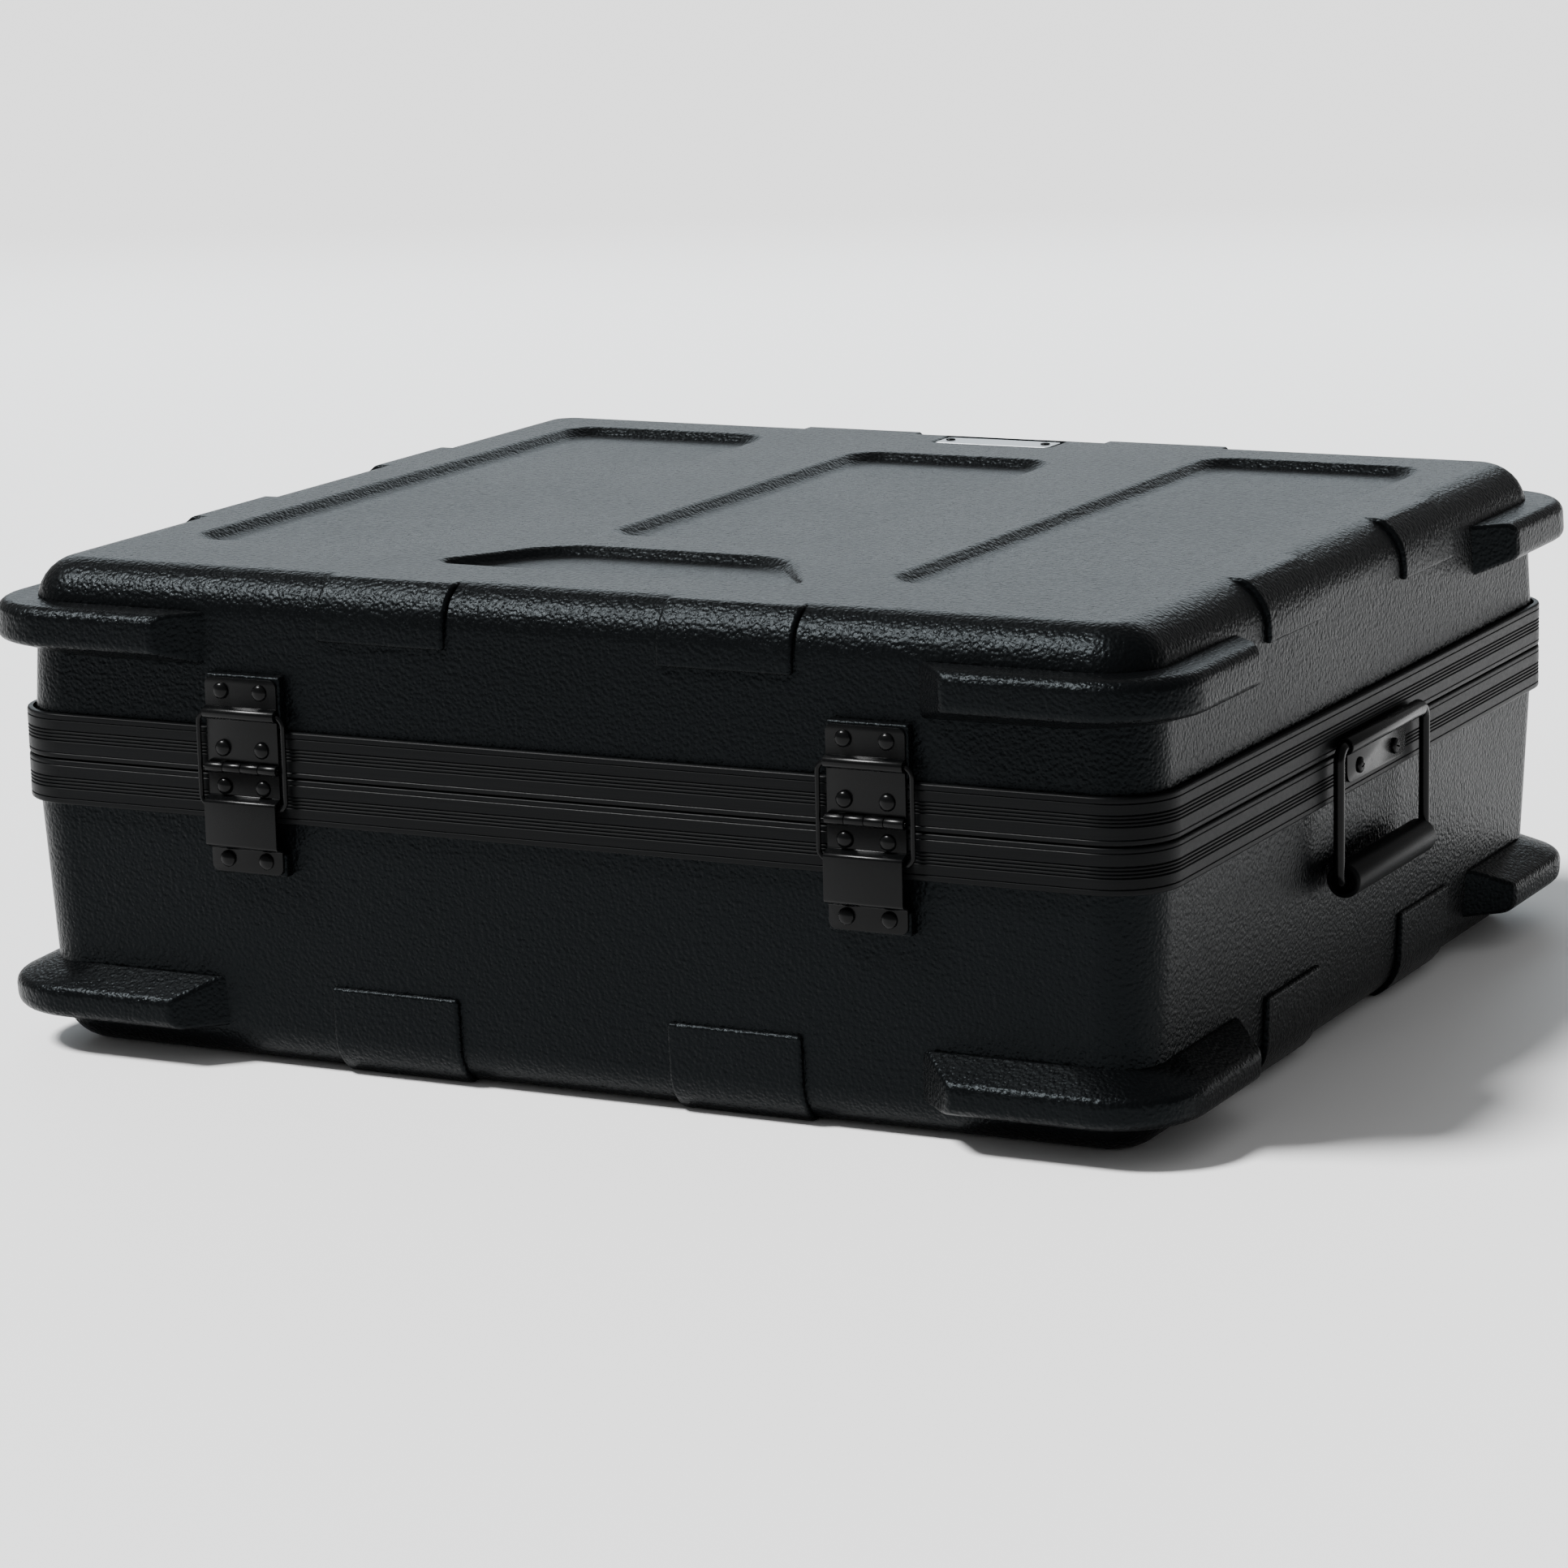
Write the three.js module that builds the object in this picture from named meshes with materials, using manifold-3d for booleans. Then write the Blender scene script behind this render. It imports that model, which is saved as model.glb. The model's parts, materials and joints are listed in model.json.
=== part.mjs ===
// Equipment rack case: a moulded lid and base, edged with aluminium valances, hinged at the back
// (+Y), latched at the front (-Y), with drop handles on both ends and the front.
// Millimetres, +Z up. The origin is under the middle of the case, on the surface it stands on.

import * as THREE from 'three';
import { mergeVertices } from 'three/addons/utils/BufferGeometryUtils.js';
import Module from 'manifold-3d';

const wasm = await Module();
wasm.setup();

// ---------------------------------------------------------------- driving dimensions

const CASE_WIDTH = 690; // over the valances, along X
const CASE_DEPTH = 626; // over the valances, along Y
const LID_HEIGHT = 109; // parting plane to the lid's top
const BASE_HEIGHT = 166; // parting plane to the base's underside
const PAD_PROUD = 3; // the edge pads stand this far off the walls, and end flush with the top
const PARTING = BASE_HEIGHT;
const CORNER_RADIUS = 36;
const WALL = 4.5;
const DRAFT = 0.0437; // 2.5 degrees
const EDGE_FILLET = 24;
const CLEARANCE = 0.3;
const SMALLEST_RADIUS = 2;
const HALF_WIDTH = CASE_WIDTH / 2;
const HALF_DEPTH = CASE_DEPTH / 2;

const VALANCE = { height: 25.4, band: 3.2, flange: 5.6, ledge: 9, edge: 1.4, gap: 0.4 };
const TONGUE = { from: 5.2, to: 7, tall: 2.4, play: 1 };
const WALL_INSET = VALANCE.band + 0.7; // shell skin behind the valance's face, at the parting

const PANEL = { depth: 4.5, slope: 5, radius: 14 };
// Margins are counted from the valance's face, half widths from the middle.
const SIDE_PANEL = { inner: 146, outerMargin: 57, backMargin: 103, frontMargin: 63 };
const MIDDLE_PANEL = { half: 68, backMargin: 191, frontMargin: 105 };
const REAR_PANEL = { wide: 118, narrow: 70, backMargin: 76, frontMargin: 153 };
const LABEL = { width: 80, depth: 26, recess: 2.2, thickness: 1.5, rivetPitch: 64, margin: 2 };

const PAD = { width: 79, pitch: 206, lidFrom: 75, baseFrom: 116, inward: 12 };
const BUMPER = {
  arm: 122, proud: 14, wedge: 20,
  lid: { from: 64, to: 86 }, base: { from: 124, to: 145 }, bevel: 6,
};

const SHEET = 1.6;
const HINGE = {
  pitch: 374, width: 45, axisOut: 3.2, axisUp: 4.2, knuckle: 2.9, bore: 1.75, pin: 1.45,
  top: 53.6, bottom: -54, bumpOut: 6.95, bumpFrom: -12, bumpTo: -40.6, knuckles: 4,
};
const STAY = { wire: 1.4, out: 3, top: 34, bottom: -17.4, half: HINGE.width / 2 + 4.3, corner: 4, flat: 4.4 };
const RIVET = { head: 4.6, tall: 3, shank: 2, strip: 1.5, reach: WALL_INSET + WALL + 2.5 };
// The seats moulded under the hardware, out to the valance's face.
const SEAT = { over: 1.6, margin: 1, hinge: [-55.5, -42, 55], latch: [-58, -42, 48] };
const HINGE_RIVETS = { half: 12.25, lid: [46.3, 14.6], base: [-6.4, -46.8] };

const LATCH = {
  pitch: 374, plateWidth: 70, plateTop: -4, plateBottom: -57, rivetHalf: 28.5, rivetRows: [-12, -50],
  pivotOut: 8.6, pivotUp: -8, hookOut: 11.4, hookUp: -20, pin: 1.5, bore: 1.8,
  ear: 21, cheek: 18, faceOut: 14.2, faceTop: -27, faceBottom: -54, hookWidth: 31, hookTop: 21.5,
  keeperWidth: 38, keeperTop: 46, keeperBottom: 15, lipOut: 6.6, lipTop: 19.5, keeperRivet: 38,
  keeperRivetHalf: 11.5, lock: 6, lockUp: -41,
};

const HANDLE = {
  rollOut: 5.2, rollUp: 4.5, wire: 3.1, rollBore: 3.45, rollWall: 1.45, rollLength: 116,
  flangeBottom: -19, half: 67.5, drop: 73.5, corner: 5, grip: 9.75, gripLength: 123, gripBore: 3.45,
  screwHalf: 27.5, screwUp: -11.5, screwHead: 4.5, screwShank: 2,
};

const FOAM = { gap: 4.5, wall: 22, floor: 12, lidPad: 18, top: -9, frameGap: 4.7 };
const RACK = {
  endRoom: 46, unit: 44.45, holes: 465.1, flange: 22, web: 34, sheet: 2, top: -22, post: 24,
  frameFoot: 16, screw: 2.6, screwHead: 5,
};

// As many rack units as the case's depth has room for.
const RACK_UNITS = Math.floor((CASE_DEPTH - 2 * RACK.endRoom) / RACK.unit);
const RAIL_LENGTH = RACK_UNITS * RACK.unit;

// ---------------------------------------------------------------- materials

function finish(color, roughness, metalness) {
  return new THREE.MeshStandardMaterial({ color, roughness, metalness });
}

const MATERIAL = {
  shell: finish(0x17191b, 0.55, 0),
  valance: finish(0x1c1e20, 0.38, 0.9),
  hardware: finish(0x0e0f10, 0.32, 0.8),
  grip: finish(0x101112, 0.5, 0),
  foam: finish(0x222325, 0.95, 0),
  rack: finish(0x141516, 0.4, 0.7),
  label: finish(0xb9bec2, 0.35, 0.8),
};

// ---------------------------------------------------------------- solids

function solid(geometry) {
  const bare = geometry.clone();
  bare.deleteAttribute('normal');
  bare.deleteAttribute('uv');
  const merged = mergeVertices(bare, 1e-4);
  return new wasm.Manifold(new wasm.Mesh({
    numProp: 3,
    vertProperties: new Float32Array(merged.attributes.position.array),
    triVerts: new Uint32Array(merged.index.array),
  }));
}

function geometryOf(body) {
  const mesh = body.getMesh();
  const geometry = new THREE.BufferGeometry();
  geometry.setAttribute('position', new THREE.BufferAttribute(mesh.vertProperties, 3));
  geometry.setIndex(new THREE.BufferAttribute(mesh.triVerts, 1));
  geometry.computeVertexNormals();
  return geometry;
}

function join(bodies) {
  return bodies.reduce((sum, body) => sum.add(body));
}

function cut(body, tools) {
  return tools.reduce((rest, tool) => rest.subtract(tool), body);
}

function block(x0, x1, y0, y1, z0, z1) {
  const box = new THREE.BoxGeometry(x1 - x0, y1 - y0, z1 - z0);
  return solid(box.translate((x0 + x1) / 2, (y0 + y1) / 2, (z0 + z1) / 2));
}

function roundedRect(width, depth, corner, centreX = 0, centreY = 0) {
  const radius = Math.max(corner, SMALLEST_RADIUS);
  const [a, b] = [width / 2 - radius, depth / 2 - radius];
  const shape = new THREE.Shape();
  shape.moveTo(centreX + a + radius, centreY - b);
  shape.absarc(centreX + a, centreY + b, radius, 0, Math.PI / 2);
  shape.absarc(centreX - a, centreY + b, radius, Math.PI / 2, Math.PI);
  shape.absarc(centreX - a, centreY - b, radius, Math.PI, Math.PI * 1.5);
  shape.absarc(centreX + a, centreY - b, radius, Math.PI * 1.5, Math.PI * 2);
  return shape;
}

// A rounded slab between two heights, its outline set in from the valance's face.
function slab(inset, z0, z1, bevel = 0, segments = 2) {
  const shape = roundedRect(CASE_WIDTH - 2 * inset, CASE_DEPTH - 2 * inset, CORNER_RADIUS - inset);
  const geometry = new THREE.ExtrudeGeometry(shape, {
    depth: z1 - z0 - 2 * bevel,
    bevelEnabled: bevel > 0,
    bevelThickness: bevel,
    bevelSize: bevel,
    bevelOffset: -bevel,
    bevelSegments: 1,
    curveSegments: segments,
  });
  return solid(geometry.translate(0, 0, z0 + bevel));
}

// The form of a shell: it stands on the parting plane, leans in as it rises and rounds over at the
// top. The base uses the same form turned upside down.
function tubForm(inset, height, fillet) {
  const skirt = 40;
  const shape = roundedRect(CASE_WIDTH - 2 * inset, CASE_DEPTH - 2 * inset, CORNER_RADIUS - inset);
  const geometry = new THREE.ExtrudeGeometry(shape, {
    depth: skirt + height - fillet,
    bevelThickness: fillet,
    bevelSize: fillet,
    bevelOffset: -fillet,
    bevelSegments: 3,
    curveSegments: 2,
  });
  geometry.translate(0, 0, -skirt);
  const position = geometry.attributes.position;
  for (let i = 0; i < position.count; i += 1) {
    const lean = DRAFT * position.getZ(i);
    position.setX(i, position.getX(i) - Math.sign(position.getX(i)) * lean);
    position.setY(i, position.getY(i) - Math.sign(position.getY(i)) * lean);
  }
  return solid(geometry);
}

function above(body, z) {
  const far = CASE_WIDTH + CASE_DEPTH;
  return body.subtract(block(-far, far, -far, far, z - far, z));
}

function cylinder(radius, length, sides = 12) {
  return new THREE.CylinderGeometry(radius, radius, length, sides);
}

// Geometry drawn in the XY plane and extruded along Z, stood up so that the drawing's x points out
// of the wall, its y points up and the extrusion runs along the wall, centred.
const ALONG_WALL = new THREE.Matrix4().makeBasis(
  new THREE.Vector3(0, 1, 0),
  new THREE.Vector3(0, 0, 1),
  new THREE.Vector3(1, 0, 0),
);

function alongWall(shape, from, to, segments = 4) {
  const geometry = new THREE.ExtrudeGeometry(shape, {
    depth: to - from,
    bevelEnabled: false,
    curveSegments: segments,
  });
  return solid(geometry.applyMatrix4(ALONG_WALL).translate(from, 0, 0));
}

// A strip of sheet bent along a centre line of [out, up] points.
function bentSheet(centreLine, thickness, from, to) {
  const points = centreLine.map(([out, up]) => new THREE.Vector2(out, up));
  const sides = [1, -1].map((side) => points.map((point, i) => {
    const before = points[Math.max(i - 1, 0)];
    const after = points[Math.min(i + 1, points.length - 1)];
    const enter = point.clone().sub(i > 0 ? before : point).normalize();
    const leave = after.clone().sub(i < points.length - 1 ? point : after).normalize();
    const tangent = enter.clone().add(leave).normalize();
    const inner = (i > 0 ? enter : leave);
    const mitre = Math.max(tangent.dot(inner), 0.5);
    const normal = new THREE.Vector2(-tangent.y, tangent.x);
    return point.clone().addScaledVector(normal, side * thickness / 2 / mitre);
  }));
  const outline = [...sides[0], ...sides[1].reverse()];
  return alongWall(new THREE.Shape(outline), from, to);
}

function ring(outer, bore, out, up, from, to) {
  const shape = new THREE.Shape();
  shape.absarc(out, up, outer, 0, Math.PI * 2);
  const hole = new THREE.Path();
  hole.absarc(out, up, bore, 0, Math.PI * 2, true);
  shape.holes.push(hole);
  return alongWall(shape, from, to, 6);
}

function disc(radius, out, up, from, to, segments = 6) {
  const shape = new THREE.Shape();
  shape.absarc(out, up, radius, 0, Math.PI * 2);
  return alongWall(shape, from, to, segments);
}

function arcPoints(centre, radius, startDegrees, endDegrees, steps) {
  return Array.from({ length: steps + 1 }, (_, i) => {
    const angle = THREE.MathUtils.degToRad(startDegrees + (endDegrees - startDegrees) * i / steps);
    return [centre[0] + radius * Math.cos(angle), centre[1] + radius * Math.sin(angle)];
  });
}

// A wire through a list of points, with a ring of its section at each of them.
class WirePath extends THREE.Curve {
  constructor(points) {
    super();
    this.points = points;
  }

  at(u) {
    return Math.round(u * (this.points.length - 1));
  }

  getPoint(u) {
    return this.points[this.at(u)].clone();
  }

  getPointAt(u) {
    return this.getPoint(u);
  }

  getTangentAt(u) {
    const i = this.at(u);
    const before = this.points[Math.max(i - 1, 0)];
    const after = this.points[Math.min(i + 1, this.points.length - 1)];
    const here = this.points[i];
    const enter = here.clone().sub(before).normalize();
    return enter.add(after.clone().sub(here).normalize()).normalize();
  }
}

// A rectangular wire loop in a plane parallel to the wall. Its two ends butt together in the
// middle of the top bar, as a bent wire's do.
function wireLoop(half, top, bottom, out, corner, wire) {
  const corners = [
    [half - corner, top - corner, 90, 0],
    [half - corner, bottom + corner, 0, -90],
    [-half + corner, bottom + corner, -90, -180],
    [-half + corner, top - corner, 180, 90],
  ];
  const flat = corners.flatMap(([x, z, start, end]) => arcPoints([x, z], corner, start, end, 3));
  const butt = 0.2;
  const route = [[butt, top], ...flat, [-butt, top]];
  const path = new WirePath(route.map(([x, z]) => new THREE.Vector3(x, out, z)));
  const section = new THREE.Shape();
  section.absarc(0, 0, wire, 0, Math.PI * 2);
  return solid(new THREE.ExtrudeGeometry(section, {
    steps: route.length - 1,
    curveSegments: 3,
    extrudePath: path,
  }));
}

// ---------------------------------------------------------------- places on the walls

// Local axes on a wall: x along it, y out of it from the valance's face, z up from the parting.
function onWall(turn, reach, along) {
  const group = new THREE.Group();
  group.rotation.z = turn;
  const direction = new THREE.Vector3(along, reach, 0).applyAxisAngle(new THREE.Vector3(0, 0, 1), turn);
  group.position.set(direction.x, direction.y, PARTING);
  group.updateMatrixWorld(true);
  return group;
}

const HINGE_PLACES = {
  left: onWall(0, HALF_DEPTH, -HINGE.pitch / 2),
  right: onWall(0, HALF_DEPTH, HINGE.pitch / 2),
};
const LATCH_PLACES = {
  left: onWall(Math.PI, HALF_DEPTH, LATCH.pitch / 2),
  right: onWall(Math.PI, HALF_DEPTH, -LATCH.pitch / 2),
};
const HANDLE_PLACES = {
  left: onWall(Math.PI / 2, HALF_WIDTH, 0),
  right: onWall(-Math.PI / 2, HALF_WIDTH, 0),
  front: onWall(Math.PI, HALF_DEPTH, 0),
};

// A hole through the wall, as a tool in the case's frame but with z counted from the parting.
function wallHole(place, along, up, radius) {
  const deep = RIVET.reach + 5;
  const tool = cylinder(radius, 2 * deep, 6).translate(along, 0, up);
  return solid(tool.applyMatrix4(place.matrixWorld).translate(0, 0, -PARTING));
}

function seatBlocks(places, width, z0, z1) {
  const deep = WALL_INSET + 4;
  return Object.values(places).map((place) => {
    const box = new THREE.BoxGeometry(width + 2 * SEAT.margin, deep, z1 - z0);
    box.translate(0, -deep / 2, (z0 + z1) / 2);
    return solid(box.applyMatrix4(place.matrixWorld).translate(0, 0, -PARTING));
  });
}

const pairs = (half, rows) => rows.flatMap((up) => [[-half, up], [half, up]]);

const HOLE = RIVET.shank + CLEARANCE;
const lidHoles = [];
const baseHoles = [];
for (const place of Object.values(HINGE_PLACES)) {
  lidHoles.push(...pairs(HINGE_RIVETS.half, HINGE_RIVETS.lid).map(([x, z]) => wallHole(place, x, z, HOLE)));
  baseHoles.push(...pairs(HINGE_RIVETS.half, HINGE_RIVETS.base).map(([x, z]) => wallHole(place, x, z, HOLE)));
}
for (const place of Object.values(LATCH_PLACES)) {
  const keeper = pairs(LATCH.keeperRivetHalf, [LATCH.keeperRivet]);
  lidHoles.push(...keeper.map(([x, z]) => wallHole(place, x, z, HOLE)));
  baseHoles.push(...pairs(LATCH.rivetHalf, LATCH.rivetRows).map(([x, z]) => wallHole(place, x, z, HOLE)));
}
for (const place of Object.values(HANDLE_PLACES)) {
  const hole = HANDLE.screwShank + CLEARANCE;
  baseHoles.push(...pairs(HANDLE.screwHalf, [HANDLE.screwUp]).map(([x, z]) => wallHole(place, x, z, hole)));
}

// ---------------------------------------------------------------- shells

// Bumpers round the four corners, ending in wedges.
function bumpers({ from, to }) {
  const tall = to - from;
  const lean = 8;
  const shape = roundedRect(
    CASE_WIDTH + 2 * BUMPER.proud, CASE_DEPTH + 2 * BUMPER.proud, CORNER_RADIUS + BUMPER.proud,
  );
  const band = solid(new THREE.ExtrudeGeometry(shape, {
    depth: tall - 2 * BUMPER.bevel + lean,
    bevelThickness: BUMPER.bevel,
    bevelSize: BUMPER.bevel,
    bevelOffset: -BUMPER.bevel,
    bevelSegments: 1,
    curveSegments: 2,
  }).translate(0, 0, from + BUMPER.bevel - lean));
  const reachX = HALF_WIDTH - BUMPER.arm;
  const reachY = HALF_DEPTH - BUMPER.arm;
  const outX = HALF_WIDTH + BUMPER.proud;
  const outY = HALF_DEPTH + BUMPER.proud;
  // The gaps between the bumpers: a wide trapezoid on each wall, its slanted sides the wedges.
  const gap = (reach, out) => new THREE.Shape([
    new THREE.Vector2(-reach + BUMPER.wedge, out - BUMPER.wedge - 6),
    new THREE.Vector2(reach - BUMPER.wedge, out - BUMPER.wedge - 6),
    new THREE.Vector2(reach + 10, out + 4),
    new THREE.Vector2(-reach - 10, out + 4),
  ]);
  const tools = [[reachX, outY, 0], [reachX, outY, Math.PI], [reachY, outX, Math.PI / 2],
    [reachY, outX, -Math.PI / 2]].map(([reach, out, turn]) => {
    const wedge = new THREE.ExtrudeGeometry(gap(reach, out), { depth: tall + 60, bevelEnabled: false });
    return solid(wedge.translate(0, 0, from - 30).rotateZ(turn));
  });
  return cut(band, tools);
}

// Pads over the far edge: slices of the form grown by their thickness.
function edgePads(height, from) {
  const grown = tubForm(WALL_INSET - PAD_PROUD, height + PAD_PROUD, EDGE_FILLET + PAD_PROUD);
  const half = PAD.width / 2;
  const inX = HALF_WIDTH - EDGE_FILLET - PAD.inward - WALL_INSET - DRAFT * height;
  const inY = HALF_DEPTH - EDGE_FILLET - PAD.inward - WALL_INSET - DRAFT * height;
  const far = CASE_WIDTH;
  const slices = [];
  for (const side of [-1, 1]) {
    const x = side * PAD.pitch / 2;
    slices.push(block(x - half, x + half, inY, far, from, height));
    slices.push(block(x - half, x + half, -far, -inY, from, height));
    slices.push(block(inX, far, x - half, x + half, from, height));
    slices.push(block(-far, -inX, x - half, x + half, from, height));
  }
  return slices.map((slice) => grown.intersect(slice));
}

function shellSolid(height, bumperBand, padsFrom, seats, extras) {
  const rim = VALANCE.gap + VALANCE.flange + CLEARANCE;
  const skin = tubForm(WALL_INSET, height, EDGE_FILLET);
  const hollow = tubForm(WALL_INSET + WALL, height - WALL, EDGE_FILLET - WALL);
  let body = join([skin, bumpers(bumperBand), ...edgePads(height, padsFrom), ...seats]);
  body = body.subtract(hollow);
  body = join([body, ...extras.backs]);
  return cut(above(body, rim), extras.recesses);
}

// A panel's outline as a drawn recess: full size at the skin, smaller at its floor.
function recess(shape, height, depth, slope) {
  const over = 2;
  const geometry = new THREE.ExtrudeGeometry(shape, {
    depth: over,
    bevelThickness: depth,
    bevelSize: slope,
    bevelOffset: -slope,
    bevelSegments: 1,
    curveSegments: 2,
  });
  return solid(geometry.translate(0, 0, height));
}

function panelShapes() {
  const between = ({ backMargin, frontMargin }) => [HALF_DEPTH - backMargin, frontMargin - HALF_DEPTH];
  const [sideBack, sideFront] = between(SIDE_PANEL);
  const outer = HALF_WIDTH - SIDE_PANEL.outerMargin;
  const sideShape = (sign) => roundedRect(
    outer - SIDE_PANEL.inner, sideBack - sideFront, PANEL.radius,
    sign * (outer + SIDE_PANEL.inner) / 2, (sideBack + sideFront) / 2,
  );
  const [middleBack, middleFront] = between(MIDDLE_PANEL);
  const middle = roundedRect(
    2 * MIDDLE_PANEL.half, middleBack - middleFront, PANEL.radius, 0, (middleBack + middleFront) / 2,
  );
  const rearBack = HALF_DEPTH - REAR_PANEL.backMargin;
  const rearFront = HALF_DEPTH - REAR_PANEL.frontMargin;
  const rear = new THREE.Shape([
    new THREE.Vector2(-REAR_PANEL.wide, rearBack),
    new THREE.Vector2(-REAR_PANEL.narrow, rearFront),
    new THREE.Vector2(REAR_PANEL.narrow, rearFront),
    new THREE.Vector2(REAR_PANEL.wide, rearBack),
  ]);
  return [sideShape(-1), sideShape(1), middle, rear];
}

const FLAT_HALF_DEPTH = HALF_DEPTH - WALL_INSET - DRAFT * LID_HEIGHT - EDGE_FILLET;
const LABEL_CENTRE = -FLAT_HALF_DEPTH + LABEL.depth / 2;

function panelBack(shape) {
  const top = LID_HEIGHT - WALL / 2;
  const geometry = new THREE.ExtrudeGeometry(shape, {
    depth: PANEL.depth + WALL / 2,
    bevelEnabled: false,
    curveSegments: 2,
  });
  return solid(geometry.translate(0, 0, top - PANEL.depth - WALL / 2));
}

function lidShell() {
  const shapes = panelShapes();
  const seats = [
    ...seatBlocks(HINGE_PLACES, HINGE.width, VALANCE.height + SEAT.over, SEAT.hinge[2]),
    ...seatBlocks(LATCH_PLACES, LATCH.keeperWidth, VALANCE.height + SEAT.over, SEAT.latch[2]),
  ];
  const label = roundedRect(LABEL.width, LABEL.depth, 3, 0, LABEL_CENTRE);
  const recesses = [
    ...shapes.map((shape) => recess(shape, LID_HEIGHT, PANEL.depth, PANEL.slope)),
    recess(label, LID_HEIGHT, LABEL.recess, 0.8),
    ...[-1, 1].map((side) => solid(cylinder(1.5 + CLEARANCE, 30, 8).rotateX(Math.PI / 2)
      .translate(side * LABEL.rivetPitch / 2, LABEL_CENTRE, LID_HEIGHT))),
    ...lidHoles,
  ];
  const form = { from: BUMPER.lid.from, to: BUMPER.lid.to };
  return shellSolid(LID_HEIGHT, form, PAD.lidFrom, seats, { backs: shapes.map(panelBack), recesses });
}

// The base is drawn the lid's way up, so its tools are turned over with it.
const overTurn = (body) => body.rotate([180, 0, 0]);

function baseShell() {
  const seats = [
    ...seatBlocks(HINGE_PLACES, HINGE.width, SEAT.hinge[0], SEAT.hinge[1]),
    ...seatBlocks(LATCH_PLACES, LATCH.plateWidth, SEAT.latch[0], SEAT.latch[1]),
  ];
  const recesses = baseHoles.map(overTurn);
  const form = { from: BUMPER.base.from, to: BUMPER.base.to };
  const body = shellSolid(BASE_HEIGHT, form, PAD.baseFrom, seats.map(overTurn), { backs: [], recesses });
  return overTurn(body);
}

// ---------------------------------------------------------------- valances

function valanceRing() {
  const { height, band, flange, ledge, edge, gap } = VALANCE;
  const outer = slab(0, gap, height, edge);
  const channel = slab(band, gap + flange, height + 1);
  const through = slab(ledge, -1, height + 1);
  return cut(outer, [channel, through]);
}

function lidValance() {
  const { play, tall, from, to } = TONGUE;
  const deep = tall + play;
  const groove = slab(from - play, VALANCE.gap - 1, deep).subtract(slab(to + play, -1, deep + 1));
  return cut(valanceRing(), [groove, ...lidHoles]);
}

function baseValance() {
  const tongue = slab(TONGUE.from, -1, TONGUE.tall).subtract(slab(TONGUE.to, -2, TONGUE.tall + 1));
  return cut(overTurn(valanceRing()).add(tongue), baseHoles);
}

// ---------------------------------------------------------------- linings

function lining(height, z0, z1) {
  const inset = WALL_INSET + WALL + FOAM.gap;
  const form = tubForm(inset, height - WALL - CLEARANCE, EDGE_FILLET - WALL);
  const far = CASE_WIDTH + CASE_DEPTH;
  return form.intersect(block(-far, far, -far, far, z0, z1));
}

function baseWallFoam() {
  const outer = lining(BASE_HEIGHT, -FOAM.top, BASE_HEIGHT);
  const inset = WALL_INSET + WALL + FOAM.gap + FOAM.wall + DRAFT * BASE_HEIGHT;
  return overTurn(outer.subtract(slab(inset, -FOAM.top - 1, BASE_HEIGHT + 1)));
}

function baseFloorFoam() {
  const inset = WALL_INSET + WALL + FOAM.gap + FOAM.wall + DRAFT * BASE_HEIGHT + 1;
  const floor = -BASE_HEIGHT + WALL + CLEARANCE;
  const pad = slab(inset, floor, floor + FOAM.floor);
  const half = RAIL_LENGTH / 2 - RACK.sheet - RACK.frameFoot - FOAM.frameGap;
  return pad.intersect(block(-HALF_WIDTH, HALF_WIDTH, -half, half, floor - 1, floor + FOAM.floor + 1));
}

function lidFoam() {
  const under = LID_HEIGHT - PANEL.depth - WALL - CLEARANCE;
  const pad = lining(LID_HEIGHT, under - FOAM.lidPad, under);
  const rivetRoom = block(
    -LABEL.width, LABEL.width, -HALF_DEPTH, LABEL_CENTRE + LABEL.depth, under - 6, under + 1,
  );
  return pad.subtract(rivetRoom);
}

// ---------------------------------------------------------------- rivets and screws

function domedHead(head, tall, length, sides) {
  const profile = [
    [0, -length], [RIVET.shank, -length], [RIVET.shank, 0], [head, 0],
    ...arcPoints([0, 0], 1, 20, 65, 1).map(([r, h]) => [head * r, tall * h]), [0, tall],
  ];
  return new THREE.LatheGeometry(profile.map(([r, h]) => new THREE.Vector2(r, h)), sides);
}

// Fasteners set through a wall into one backing strip behind it.
function fastenerSet(spots, out, head, tall, strips) {
  const length = RIVET.reach + out + RIVET.strip / 2;
  const pins = spots.map(([x, z]) => solid(domedHead(head, tall, length, 7).translate(x, out, z)));
  const deep = RIVET.reach + RIVET.strip;
  const backs = strips.map(([x0, x1, z0, z1]) => block(x0, x1, -deep, -RIVET.reach, z0, z1));
  return join([...pins, ...backs]);
}

function stripRound(spots, margin = 5) {
  const xs = spots.map(([x]) => x);
  const zs = spots.map(([, z]) => z);
  const grown = (values) => [Math.min(...values) - margin, Math.max(...values) + margin];
  return [...grown(xs), ...grown(zs)];
}

// ---------------------------------------------------------------- hinges

const LEAF_OUT = CLEARANCE + SHEET / 2;
const knuckleEdges = (index) => {
  const step = HINGE.width / HINGE.knuckles;
  const play = CLEARANCE / 2;
  return [-HINGE.width / 2 + index * step + play, -HINGE.width / 2 + (index + 1) * step - play];
};

function knuckled(sheet, indexes, side) {
  const bore = disc(HINGE.bore, HINGE.axisOut, HINGE.axisUp, -HINGE.width, HINGE.width);
  const reach = HINGE.knuckle + 1;
  const parts = indexes.flatMap((index) => {
    const [from, to] = knuckleEdges(index);
    const z = [HINGE.axisUp, HINGE.axisUp + side * reach].sort((a, b) => a - b);
    return [
      disc(HINGE.knuckle, HINGE.axisOut, HINGE.axisUp, from, to),
      block(from, to, CLEARANCE, CLEARANCE + SHEET, z[0], z[1]),
    ];
  });
  return join([sheet, ...parts]).subtract(bore);
}

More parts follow.
